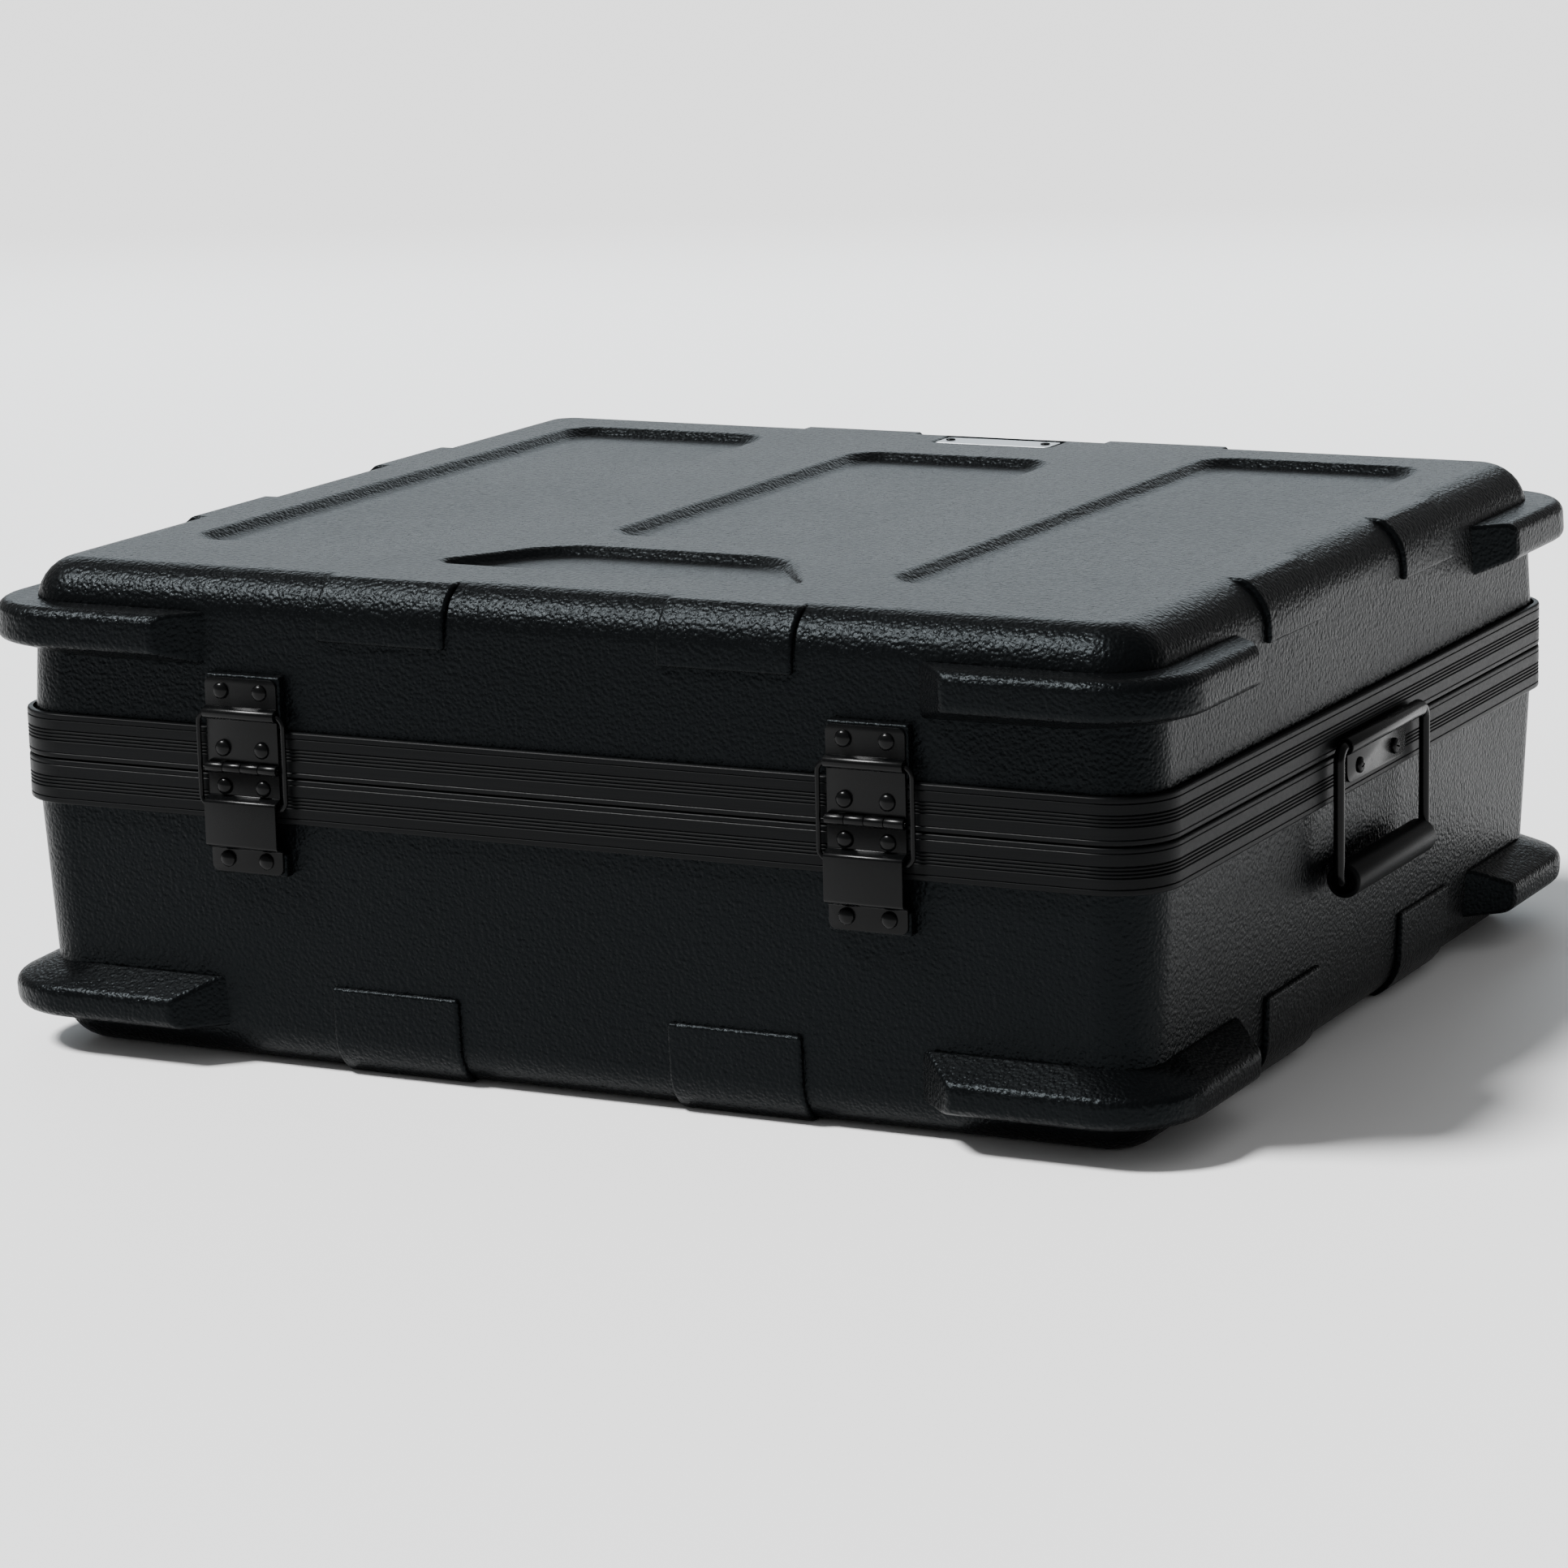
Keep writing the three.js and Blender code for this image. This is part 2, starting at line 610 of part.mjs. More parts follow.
function leafHoles(rows) {
  return pairs(HINGE_RIVETS.half, rows).map(([x, z]) => solid(cylinder(HOLE, 20, 8).translate(x, 0, z)));
}

function lidLeaf() {
  const channel = arcPoints([STAY.out, STAY.top], STAY.wire + CLEARANCE + SHEET / 2, 75, -75, 4);
  const low = HINGE.axisUp + HINGE.knuckle + 0.4;
  const line = [
    [LEAF_OUT, HINGE.top], [LEAF_OUT, STAY.top + STAY.flat], ...channel,
    [LEAF_OUT, STAY.top - STAY.flat], [LEAF_OUT, low],
  ];
  const sheet = bentSheet(line, SHEET, -HINGE.width / 2, HINGE.width / 2);
  return cut(knuckled(sheet, [0, 2], 1), leafHoles(HINGE_RIVETS.lid));
}

function baseLeaf() {
  const high = HINGE.axisUp - HINGE.knuckle - 0.4;
  const line = [
    [LEAF_OUT, HINGE.bottom], [LEAF_OUT, HINGE.bumpTo], [HINGE.bumpOut, HINGE.bumpTo + 3.5],
    [HINGE.bumpOut, HINGE.bumpFrom - 3.5], [LEAF_OUT, HINGE.bumpFrom], [LEAF_OUT, high],
  ];
  const sheet = bentSheet(line, SHEET, -HINGE.width / 2, HINGE.width / 2);
  return cut(knuckled(sheet, [1, 3], -1), leafHoles(HINGE_RIVETS.base));
}

function hingePin() {
  return disc(HINGE.pin, HINGE.axisOut, HINGE.axisUp, -HINGE.width / 2 - 0.5, HINGE.width / 2 + 0.5);
}

// ---------------------------------------------------------------- latches

function latchPlate() {
  const half = LATCH.plateWidth / 2;
  const plate = block(-half, half, CLEARANCE, CLEARANCE + SHEET, LATCH.plateBottom, LATCH.plateTop);
  const ears = [-1, 1].map((side) => {
    const [from, to] = [side * LATCH.ear, side * (LATCH.ear + SHEET)].sort((a, b) => a - b);
    const shape = new THREE.Shape();
    shape.moveTo(CLEARANCE + 0.2, LATCH.plateTop);
    shape.lineTo(CLEARANCE + 0.2, LATCH.pivotUp - 10);
    shape.lineTo(LATCH.pivotOut, LATCH.pivotUp - 4);
    shape.absarc(LATCH.pivotOut, LATCH.pivotUp, 4, -Math.PI / 2, Math.PI / 2);
    return alongWall(shape, from, to).subtract(
      disc(LATCH.bore, LATCH.pivotOut, LATCH.pivotUp, from - 1, to + 1),
    );
  });
  const holes = pairs(LATCH.rivetHalf, LATCH.rivetRows);
  return cut(join([plate, ...ears]), holes.map(([x, z]) => solid(cylinder(HOLE, 20, 8).translate(x, 0, z))));
}

function latchLever() {
  const { cheek, faceOut, faceTop, faceBottom, pivotOut, pivotUp, hookOut, hookUp } = LATCH;
  const cheeks = [-1, 1].map((side) => {
    const [from, to] = [side * cheek, side * (cheek + SHEET)].sort((a, b) => a - b);
    const shape = new THREE.Shape();
    shape.moveTo(pivotOut + 1, pivotUp + 3.6);
    shape.lineTo(pivotOut - 3, pivotUp + 1);
    shape.lineTo(pivotOut - 3.6, faceTop);
    shape.lineTo(pivotOut - 3.6, faceBottom + 4);
    shape.lineTo(faceOut - 1, faceBottom);
    shape.lineTo(faceOut + SHEET / 2, faceBottom);
    shape.lineTo(faceOut + SHEET / 2, faceTop + 2);
    shape.lineTo(hookOut + 3.4, hookUp);
    return alongWall(shape, from, to);
  });
  const span = cheek + SHEET;
  const face = bentSheet(
    [[faceOut, faceTop], [faceOut, faceBottom], [faceOut + 3, faceBottom - 4]], SHEET, -span, span,
  );
  const pins = [
    disc(LATCH.pin, pivotOut, pivotUp, -LATCH.ear - SHEET - 0.5, LATCH.ear + SHEET + 0.5),
    disc(LATCH.pin, hookOut, hookUp, -span, span),
  ];
  const lockHole = solid(cylinder(LATCH.lock + CLEARANCE, 8).translate(0, faceOut, LATCH.lockUp));
  return cut(join([...cheeks, face, ...pins]), [lockHole]);
}

function latchHook() {
  const half = LATCH.hookWidth / 2;
  const line = [
    [LATCH.hookOut, LATCH.hookUp + 2.4], [LATCH.hookOut, LATCH.hookTop],
    [LATCH.hookOut - 2, LATCH.hookTop + 2.4],
  ];
  const roll = ring(LATCH.bore + SHEET, LATCH.bore, LATCH.hookOut, LATCH.hookUp, -half, half);
  const bore = disc(LATCH.bore, LATCH.hookOut, LATCH.hookUp, -half - 1, half + 1);
  return bentSheet(line, SHEET, -half, half).subtract(bore).add(roll);
}

function lockCylinder() {
  const rim = 1.4;
  const profile = [
    [0, -9], [LATCH.lock, -9], [LATCH.lock, SHEET / 2 + CLEARANCE], [LATCH.lock + 1.5, SHEET / 2 + CLEARANCE],
    [LATCH.lock + 1.5, SHEET / 2 + rim], [LATCH.lock, SHEET / 2 + rim + 1], [0, SHEET / 2 + rim + 1],
  ];
  const body = solid(new THREE.LatheGeometry(profile.map(([r, h]) => new THREE.Vector2(r, h)), 14)
    .translate(0, LATCH.faceOut, LATCH.lockUp));
  const face = LATCH.faceOut + SHEET / 2 + rim + 1;
  return body.subtract(block(-0.7, 0.7, face - 2, face + 1, LATCH.lockUp - 3.5, LATCH.lockUp + 3.5));
}

function latchKeeper() {
  const half = LATCH.keeperWidth / 2;
  const line = [
    [LEAF_OUT, LATCH.keeperTop], [LEAF_OUT, LATCH.keeperBottom],
    [LATCH.lipOut - 1.6, LATCH.keeperBottom - 2.4],
    [LATCH.lipOut, LATCH.keeperBottom - 1], [LATCH.lipOut, LATCH.lipTop],
  ];
  const holes = pairs(LATCH.keeperRivetHalf, [LATCH.keeperRivet]);
  return cut(
    bentSheet(line, SHEET, -half, half),
    holes.map(([x, z]) => solid(cylinder(HOLE, 20, 8).translate(x, 0, z))),
  );
}

// ---------------------------------------------------------------- handles

function handleBracket() {
  const { rollOut, rollUp, rollBore, rollWall, rollLength, flangeBottom } = HANDLE;
  const half = rollLength / 2;
  const roll = ring(rollBore + rollWall, rollBore, rollOut, rollUp, -half, half);
  const flange = block(-half, half, CLEARANCE, CLEARANCE + SHEET, flangeBottom, rollUp)
    .subtract(disc(rollBore + 0.5, rollOut, rollUp, -half - 1, half + 1));
  const holes = pairs(HANDLE.screwHalf, [HANDLE.screwUp]);
  return cut(
    flange.add(roll),
    holes.map(([x, z]) => solid(cylinder(HANDLE.screwShank + CLEARANCE, 10, 8).translate(x, 0, z))),
  );
}

function handleBail() {
  return wireLoop(
    HANDLE.half, HANDLE.rollUp, HANDLE.rollUp - HANDLE.drop, HANDLE.rollOut, HANDLE.corner, HANDLE.wire,
  );
}

function handleGrip() {
  const { grip, gripLength, gripBore, rollOut, rollUp, drop } = HANDLE;
  const half = gripLength / 2;
  const nose = 5;
  const profile = [
    [gripBore, -half], [grip - nose, -half], [grip - nose * 0.3, -half + nose * 0.3], [grip, -half + nose],
    [grip, half - nose], [grip - nose * 0.3, half - nose * 0.3], [grip - nose, half], [gripBore, half],
    [gripBore, -half],
  ];
  const lathe = new THREE.LatheGeometry(profile.map(([r, h]) => new THREE.Vector2(r, h)), 12);
  return solid(lathe.rotateZ(Math.PI / 2).translate(0, rollOut, rollUp - drop));
}

// ---------------------------------------------------------------- rack frame

// A rail: an angle whose top flange carries the gear's ears and whose web hangs from it.
function rackRail(side) {
  const half = RAIL_LENGTH / 2 - RACK.sheet;
  const inner = RACK.holes / 2 - RACK.flange / 2;
  const outer = inner + RACK.flange;
  const [top, sheet] = [RACK.top, RACK.sheet];
  const flange = block(inner, outer, -half, half, top - sheet, top);
  const web = block(outer - sheet, outer, -half, half, top - RACK.web, top);
  const holes = [];
  for (let unit = 0; unit < RACK_UNITS; unit += 1) {
    const y = (unit + 0.5 - RACK_UNITS / 2) * RACK.unit;
    holes.push(solid(cylinder(3, 10, 6).rotateX(Math.PI / 2).translate(RACK.holes / 2, y, top - sheet)));
  }
  const screwHoles = [-1, 1].map((end) => solid(cylinder(RACK.screw + CLEARANCE, 40, 8).rotateZ(Math.PI / 2)
    .translate(outer, end * (half - RACK.frameFoot / 2), top - RACK.web / 2)));
  const rail = cut(flange.add(web), [...holes, ...screwHoles]);
  return side < 0 ? rail.rotate([0, 0, 180]) : rail;
}

// An end frame: two posts on feet with a bar between them, the rails screwed to the posts.
function rackFrame(end) {
  const outer = RACK.holes / 2 + RACK.flange / 2 - RACK.sheet - CLEARANCE;
  const { sheet, web, frameFoot: foot } = RACK;
  const floor = -BASE_HEIGHT + WALL + CLEARANCE;
  const face = RAIL_LENGTH / 2 - sheet - foot;
  const top = RACK.top - sheet - CLEARANCE;
  const parts = [
    block(-outer, outer, face + foot - sheet, face + foot, top - web, top),
    block(-outer, outer, face, face + foot, floor, floor + sheet),
  ];
  for (const side of [-1, 1]) {
    const [x0, x1] = [side * outer, side * (outer - sheet)].sort((a, b) => a - b);
    const [p0, p1] = [side * outer, side * (outer - RACK.post)].sort((a, b) => a - b);
    parts.push(block(x0, x1, face, face + foot, floor, top));
    parts.push(block(p0, p1, face + foot - sheet, face + foot, floor, top));
  }
  const screwHoles = [-1, 1].map((side) => solid(cylinder(RACK.screw + CLEARANCE, 40, 8).rotateZ(Math.PI / 2)
    .translate(side * outer, face + foot / 2, RACK.top - web / 2)));
  const frame = cut(join(parts), screwHoles);
  return end < 0 ? frame.rotate([0, 0, 180]) : frame;
}

function rackScrew(side, end) {
  const outer = RACK.holes / 2 + RACK.flange / 2;
  const [head, shank] = [RACK.screwHead, RACK.screw];
  const profile = [[0, -9], [shank, -9], [shank, CLEARANCE], [head, CLEARANCE], [head * 0.7, 2.8], [0, 2.8]];
  const y = end * (RAIL_LENGTH / 2 - RACK.sheet - RACK.frameFoot / 2);
  const lathe = new THREE.LatheGeometry(profile.map(([r, h]) => new THREE.Vector2(r, h)), 10);
  lathe.rotateZ(side < 0 ? Math.PI / 2 : -Math.PI / 2);
  return solid(lathe.translate(side * outer, y, RACK.top - RACK.web / 2));
}

// ---------------------------------------------------------------- label

function labelPlate() {
  const { width, depth, margin } = LABEL;
  const shape = roundedRect(width - 2 * margin, depth - 2 * margin, 2, 0, LABEL_CENTRE);
  const plate = solid(new THREE.ExtrudeGeometry(shape, {
    depth: LABEL.thickness,
    bevelEnabled: false,
    curveSegments: 2,
  }).translate(0, 0, LID_HEIGHT - LABEL.recess + CLEARANCE));
  const holes = [-1, 1].map((side) => solid(cylinder(1.5 + CLEARANCE, 30, 8).rotateX(Math.PI / 2)
    .translate(side * LABEL.rivetPitch / 2, LABEL_CENTRE, LID_HEIGHT)));
  return cut(plate, holes);
}

function labelRivet(side) {
  const face = LABEL.thickness - LABEL.recess + 2 * CLEARANCE;
  const profile = [[0, -8], [1.5, -8], [1.5, face], [3, face], [2.2, face + 1], [0, face + 1.2]];
  const lathe = new THREE.LatheGeometry(profile.map(([r, h]) => new THREE.Vector2(r, h)), 10);
  lathe.rotateX(Math.PI / 2).translate(side * LABEL.rivetPitch / 2, LABEL_CENTRE, LID_HEIGHT);
  return solid(lathe);
}

// ---------------------------------------------------------------- assembly

function piece(name, body, material, parent) {
  const mesh = new THREE.Mesh(geometryOf(body), material);
  mesh.name = name;
  parent.add(mesh);
}

const group = new THREE.Group();
const closed = new THREE.Group();
closed.position.z = PARTING;
group.add(closed);

piece('base_shell', baseShell(), MATERIAL.shell, closed);
piece('base_valance', baseValance(), MATERIAL.valance, closed);
piece('base_wall_foam', baseWallFoam(), MATERIAL.foam, closed);
piece('base_floor_foam', baseFloorFoam(), MATERIAL.foam, closed);
piece('lid_shell', lidShell(), MATERIAL.shell, closed);
piece('lid_valance', lidValance(), MATERIAL.valance, closed);
piece('lid_foam', lidFoam(), MATERIAL.foam, closed);
piece('label_plate', labelPlate(), MATERIAL.label, closed);
for (const [name, side] of [['left', -1], ['right', 1]]) {
  piece(`label_rivet_${name}`, labelRivet(side), MATERIAL.hardware, closed);
  piece(`rack_rail_${name}`, rackRail(side), MATERIAL.rack, closed);
  for (const [end, sign] of [['front', -1], ['rear', 1]]) {
    piece(`rack_screw_${name}_${end}`, rackScrew(side, sign), MATERIAL.hardware, closed);
  }
}
piece('rack_frame_front', rackFrame(-1), MATERIAL.rack, closed);
piece('rack_frame_rear', rackFrame(1), MATERIAL.rack, closed);

const stayLoop = wireLoop(STAY.half, STAY.top, STAY.bottom, STAY.out, STAY.corner, STAY.wire);
for (const [name, place] of Object.entries(HINGE_PLACES)) {
  const sheetFace = CLEARANCE + SHEET + CLEARANCE;
  for (const [part, rows] of [['lid', HINGE_RIVETS.lid], ['base', HINGE_RIVETS.base]]) {
    const spots = pairs(HINGE_RIVETS.half, rows);
    const rivets = fastenerSet(spots, sheetFace, RIVET.head, RIVET.tall, [stripRound(spots)]);
    piece(`hinge_${name}_${part}_rivets`, rivets, MATERIAL.hardware, place);
  }
  piece(`hinge_${name}_lid_leaf`, lidLeaf(), MATERIAL.hardware, place);
  piece(`hinge_${name}_base_leaf`, baseLeaf(), MATERIAL.hardware, place);
  piece(`hinge_${name}_pin`, hingePin(), MATERIAL.hardware, place);
  piece(`hinge_${name}_stay`, stayLoop, MATERIAL.hardware, place);
  group.add(place);
}

for (const [name, place] of Object.entries(LATCH_PLACES)) {
  const sheetFace = CLEARANCE + SHEET + CLEARANCE;
  const plateSpots = pairs(LATCH.rivetHalf, LATCH.rivetRows);
  const keeperSpots = pairs(LATCH.keeperRivetHalf, [LATCH.keeperRivet]);
  piece(`latch_${name}_plate`, latchPlate(), MATERIAL.hardware, place);
  piece(`latch_${name}_lever`, latchLever(), MATERIAL.hardware, place);
  piece(`latch_${name}_hook`, latchHook(), MATERIAL.hardware, place);
  piece(`latch_${name}_lock`, lockCylinder(), MATERIAL.hardware, place);
  piece(`latch_${name}_keeper`, latchKeeper(), MATERIAL.hardware, place);
  const plateRivets = fastenerSet(plateSpots, sheetFace, RIVET.head, RIVET.tall, [stripRound(plateSpots)]);
  piece(`latch_${name}_plate_rivets`, plateRivets, MATERIAL.hardware, place);
  const keeperRivets = fastenerSet(keeperSpots, sheetFace, RIVET.head, RIVET.tall, [stripRound(keeperSpots)]);
  piece(`latch_${name}_keeper_rivets`, keeperRivets, MATERIAL.hardware, place);
  group.add(place);
}

for (const [name, place] of Object.entries(HANDLE_PLACES)) {
  const spots = pairs(HANDLE.screwHalf, [HANDLE.screwUp]);
  const face = CLEARANCE + SHEET + CLEARANCE;
  const screws = fastenerSet(spots, face, HANDLE.screwHead, 2.4, [stripRound(spots, 4)]);
  piece(`handle_${name}_bracket`, handleBracket(), MATERIAL.hardware, place);
  piece(`handle_${name}_bail`, handleBail(), MATERIAL.hardware, place);
  piece(`handle_${name}_grip`, handleGrip(), MATERIAL.grip, place);
  piece(`handle_${name}_screws`, screws, MATERIAL.hardware, place);
  group.add(place);
}

export default group;
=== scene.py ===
"""Looks of a moulded equipment rack case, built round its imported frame. Metres, +Z up."""

import json
import math

import bmesh
import bpy
from bpy.props import FloatProperty, FloatVectorProperty, IntProperty, PointerProperty
from mathutils import Matrix, Vector


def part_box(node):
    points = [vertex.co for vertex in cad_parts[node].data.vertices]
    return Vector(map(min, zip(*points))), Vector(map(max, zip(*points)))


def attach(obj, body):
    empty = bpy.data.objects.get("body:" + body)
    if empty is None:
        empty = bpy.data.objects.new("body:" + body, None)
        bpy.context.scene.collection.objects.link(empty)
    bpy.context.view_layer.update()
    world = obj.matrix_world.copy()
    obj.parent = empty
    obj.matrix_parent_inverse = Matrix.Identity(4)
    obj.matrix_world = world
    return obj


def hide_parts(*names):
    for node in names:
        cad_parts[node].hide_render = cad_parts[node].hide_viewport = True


bl_info = {
    "name": "Equipment rack case",
    "version": (1, 0, 0),
    "blender": (4, 5, 0),
    "location": "View3D > Sidebar > Rack case",
    "description": "Builds the detailed pieces of a moulded equipment rack case",
    "category": "Object",
}

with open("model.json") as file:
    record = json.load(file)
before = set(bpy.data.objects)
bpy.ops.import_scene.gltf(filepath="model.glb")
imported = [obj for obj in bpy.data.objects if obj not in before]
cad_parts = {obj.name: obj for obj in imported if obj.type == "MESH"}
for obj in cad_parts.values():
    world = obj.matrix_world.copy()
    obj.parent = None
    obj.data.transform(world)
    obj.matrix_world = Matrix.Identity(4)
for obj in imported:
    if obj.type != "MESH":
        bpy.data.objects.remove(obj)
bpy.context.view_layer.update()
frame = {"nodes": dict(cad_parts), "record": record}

MM = 0.001
SMOOTH = math.radians(35)
OUTWARD = Matrix.Rotation(-math.pi / 2, 4, "X")

# Main sizes, read from the frame.
VALANCE_LOW, VALANCE_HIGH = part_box("lid_valance")
SHELL_LOW, SHELL_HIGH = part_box("base_shell")
LID_LOW, LID_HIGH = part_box("lid_shell")
WIDTH = VALANCE_HIGH.x - VALANCE_LOW.x
DEPTH = VALANCE_HIGH.y - VALANCE_LOW.y
GAP = 0.4 * MM
PARTING = VALANCE_LOW.z - GAP
VALANCE_TALL = VALANCE_HIGH.z - PARTING
PAD_PROUD = 3 * MM
LID_TALL = LID_HIGH.z - PARTING
BASE_TALL = PARTING - SHELL_LOW.z
CORNER = 36 * MM
WALL = 4.5 * MM
WALL_INSET = 3.9 * MM
LEAN = 0.0437
FILLET = 24 * MM
RIM = 6.3 * MM
BUMPER_PROUD = SHELL_HIGH.x - VALANCE_HIGH.x
BUMPER_ARM = 122 * MM
PAD_WIDE = 79 * MM
PAD_PITCH = 206 * MM
SHEET = 1.6 * MM
SHEET_OUT = 0.3 * MM + SHEET / 2
HEAD_OUT = 0.3 * MM + SHEET


# ------------------------------------------------------------------ settings


class CaseSizes(bpy.types.PropertyGroup):
    """Sizes of the details that the frame leaves open."""

    corner_segments: IntProperty(
        name="Corner segments", description="Facets round each corner of the shells",
        default=10, min=3, max=24,
    )
    edge_softness: FloatProperty(
        name="Edge softness", description="Radius of the small edges of the moulded pads",
        default=2.2 * MM, min=0.2 * MM, max=5 * MM, unit="LENGTH",
    )
    sheet_edge: FloatProperty(
        name="Sheet edge", description="Radius of the edges of the pressed metal parts",
        default=0.35 * MM, min=0.05 * MM, max=1 * MM, unit="LENGTH",
    )
    rib_depth: FloatProperty(
        name="Rib depth", description="Depth of the fine grooves along the valances",
        default=0.7 * MM, min=0.1 * MM, max=1.5 * MM, unit="LENGTH",
    )


class CaseColours(bpy.types.PropertyGroup):
    """Base colours of the finishes."""

    shell: FloatVectorProperty(
        name="Shell", description="Moulded plastic",
        subtype="COLOR", size=3, default=(0.0016, 0.0018, 0.0020),
    )
    valance: FloatVectorProperty(
        name="Valance", description="Anodised aluminium",
        subtype="COLOR", size=3, default=(0.0028, 0.0030, 0.0032),
    )
    hardware: FloatVectorProperty(
        name="Hardware", description="Black coated steel",
        subtype="COLOR", size=3, default=(0.0014, 0.0015, 0.0016),
    )
    grip: FloatVectorProperty(
        name="Grip", description="Handle grips",
        subtype="COLOR", size=3, default=(0.0020, 0.0022, 0.0024),
    )
    foam: FloatVectorProperty(
        name="Foam", description="Foam linings",
        subtype="COLOR", size=3, default=(0.022, 0.0235, 0.025),
    )
    rack: FloatVectorProperty(
        name="Rack", description="Rack rails and frames",
        subtype="COLOR", size=3, default=(0.0035, 0.0037, 0.0040),
    )
    label: FloatVectorProperty(
        name="Label", description="Blank plate on the lid",
        subtype="COLOR", size=3, default=(0.42, 0.44, 0.46),
    )


def sizes():
    return bpy.context.scene.case_sizes


def colours():
    return bpy.context.scene.case_colours


# ------------------------------------------------------------------ modelling helpers


def deselect():
    if bpy.context.object and bpy.context.object.mode != "OBJECT":
        bpy.ops.object.mode_set(mode="OBJECT")
    bpy.ops.object.select_all(action="DESELECT")


def activate(piece):
    deselect()
    piece.select_set(True)
    bpy.context.view_layer.objects.active = piece


def settle(name):
    """Names the new active object and puts its place into its mesh."""
    piece = bpy.context.object
    piece.name = name
    activate(piece)
    bpy.ops.object.transform_apply(location=True, rotation=True, scale=True)
    return piece


def block(name, low, high):
    deselect()
    low, high = Vector(low), Vector(high)
    bpy.ops.mesh.primitive_cube_add(size=1, location=(low + high) / 2, scale=high - low)
    return settle(name)


def rod(name, centre, radius, length, axis="X", sides=32):
    deselect()
    turn = {"X": (0, math.pi / 2, 0), "Y": (math.pi / 2, 0, 0), "Z": (0, 0, 0)}[axis]
    bpy.ops.mesh.primitive_cylinder_add(
        vertices=sides, radius=radius, depth=length, location=centre, rotation=turn
    )
    return settle(name)


def pick(piece, kind, test):
    """Enters edit mode with just the vertices, edges or faces that pass the test selected."""
    activate(piece)
    bpy.ops.object.mode_set(mode="EDIT")
    bpy.ops.mesh.select_mode(type=kind)
    bpy.ops.mesh.select_all(action="DESELECT")
    mesh = bmesh.from_edit_mesh(piece.data)
    items = {"VERT": mesh.verts, "EDGE": mesh.edges, "FACE": mesh.faces}[kind]
    for item in items:
        if test(item):
            item.select_set(True)
    mesh.select_flush_mode()
    bmesh.update_edit_mesh(piece.data)


def leave_edit():
    bpy.ops.object.mode_set(mode="OBJECT")


def middle(edge):
    return (edge.verts[0].co + edge.verts[1].co) / 2


def runs_along(edge, axis):
    direction = (edge.verts[1].co - edge.verts[0].co).normalized()
    return abs(direction[axis]) > 0.99


def bevel_edges(piece, test, width, segments):
    pick(piece, "EDGE", test)
    bpy.ops.mesh.bevel(offset=width, offset_type="OFFSET", segments=segments, profile=0.5, affect="EDGES")
    leave_edit()


def bisect(piece, height):
    pick(piece, "FACE", lambda face: True)
    bpy.ops.mesh.bisect(plane_co=(0, 0, height), plane_no=(0, 0, 1))
    leave_edit()


def apply_modifier(piece, modifier):
    activate(piece)
    bpy.ops.object.modifier_apply(modifier=modifier.name)


def boolean(piece, tool, operation):
    modifier = piece.modifiers.new("Boolean", "BOOLEAN")
    modifier.operation = operation
    modifier.solver = "EXACT"
    modifier.object = tool
    apply_modifier(piece, modifier)
    bpy.data.objects.remove(tool)
    return piece


def clean(piece, distance=0.02 * MM):
    pick(piece, "VERT", lambda vertex: True)
    bpy.ops.mesh.remove_doubles(threshold=distance)
    leave_edit()


def soften(piece, width, segments=2, angle=35):
    """Rounds every edge sharper than the angle."""
    modifier = piece.modifiers.new("Bevel", "BEVEL")
    modifier.width = width
    modifier.segments = segments
    modifier.limit_method = "ANGLE"
    modifier.angle_limit = math.radians(angle)
    modifier.use_clamp_overlap = True
    apply_modifier(piece, modifier)


def smooth(piece, angle=SMOOTH, weighted=True):
    activate(piece)
    bpy.ops.object.shade_smooth_by_angle(angle=angle)
    if weighted:
        modifier = piece.modifiers.new("Weighted normals", "WEIGHTED_NORMAL")
        modifier.keep_sharp = True
        modifier.weight = 70
        apply_modifier(piece, modifier)


def copy_of(node, name):
    """A merged copy of a frame node, to be worked on."""
    source = frame["nodes"][node]
    piece = bpy.data.objects.new(name, source.data.copy())
    bpy.context.scene.collection.objects.link(piece)
    clean(piece)
    pick(piece, "FACE", lambda face: True)
    bpy.ops.mesh.dissolve_limited(angle_limit=math.radians(1))
    leave_edit()
    return piece


def join(name, pieces):
    activate(pieces[0])
    for piece in pieces:
        piece.select_set(True)
    bpy.ops.object.join()
    piece = bpy.context.object
    piece.name = name
    return piece


def finish_piece(piece, body, slot, material, *nodes):
    """Gives a finished piece its material and body, and hides the frame nodes that it stands for. The
    slot argument is not used.
    """
    piece.data.materials.clear()
    piece.data.materials.append(material)
    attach(piece, body)
    if nodes:
        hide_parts(*nodes)
    return piece


def chain(name, points):
    """Edges through the points, one after another."""
    deselect()
    bpy.ops.mesh.primitive_plane_add(size=MM)
    piece = bpy.context.object
    piece.name = name
    bpy.ops.object.mode_set(mode="EDIT")
    bpy.ops.mesh.select_mode(type="VERT")
    bpy.ops.mesh.select_all(action="SELECT")
    bpy.ops.mesh.merge(type="CENTER")
    bpy.ops.transform.translate(value=points[0])
    for before, after in zip(points, points[1:]):
        step = Vector(after) - Vector(before)
        bpy.ops.mesh.extrude_region_move(TRANSFORM_OT_translate={"value": step})
    bpy.ops.mesh.select_all(action="SELECT")
    bpy.ops.mesh.remove_doubles(threshold=0.001 * MM)
    return piece


def arc(centre, radius, start, end, steps):
    """Points on an arc, angles in degrees."""
    angles = [math.radians(start + (end - start) * step / steps) for step in range(steps + 1)]
    return [(centre[0] + radius * math.cos(a), centre[1] + radius * math.sin(a)) for a in angles]


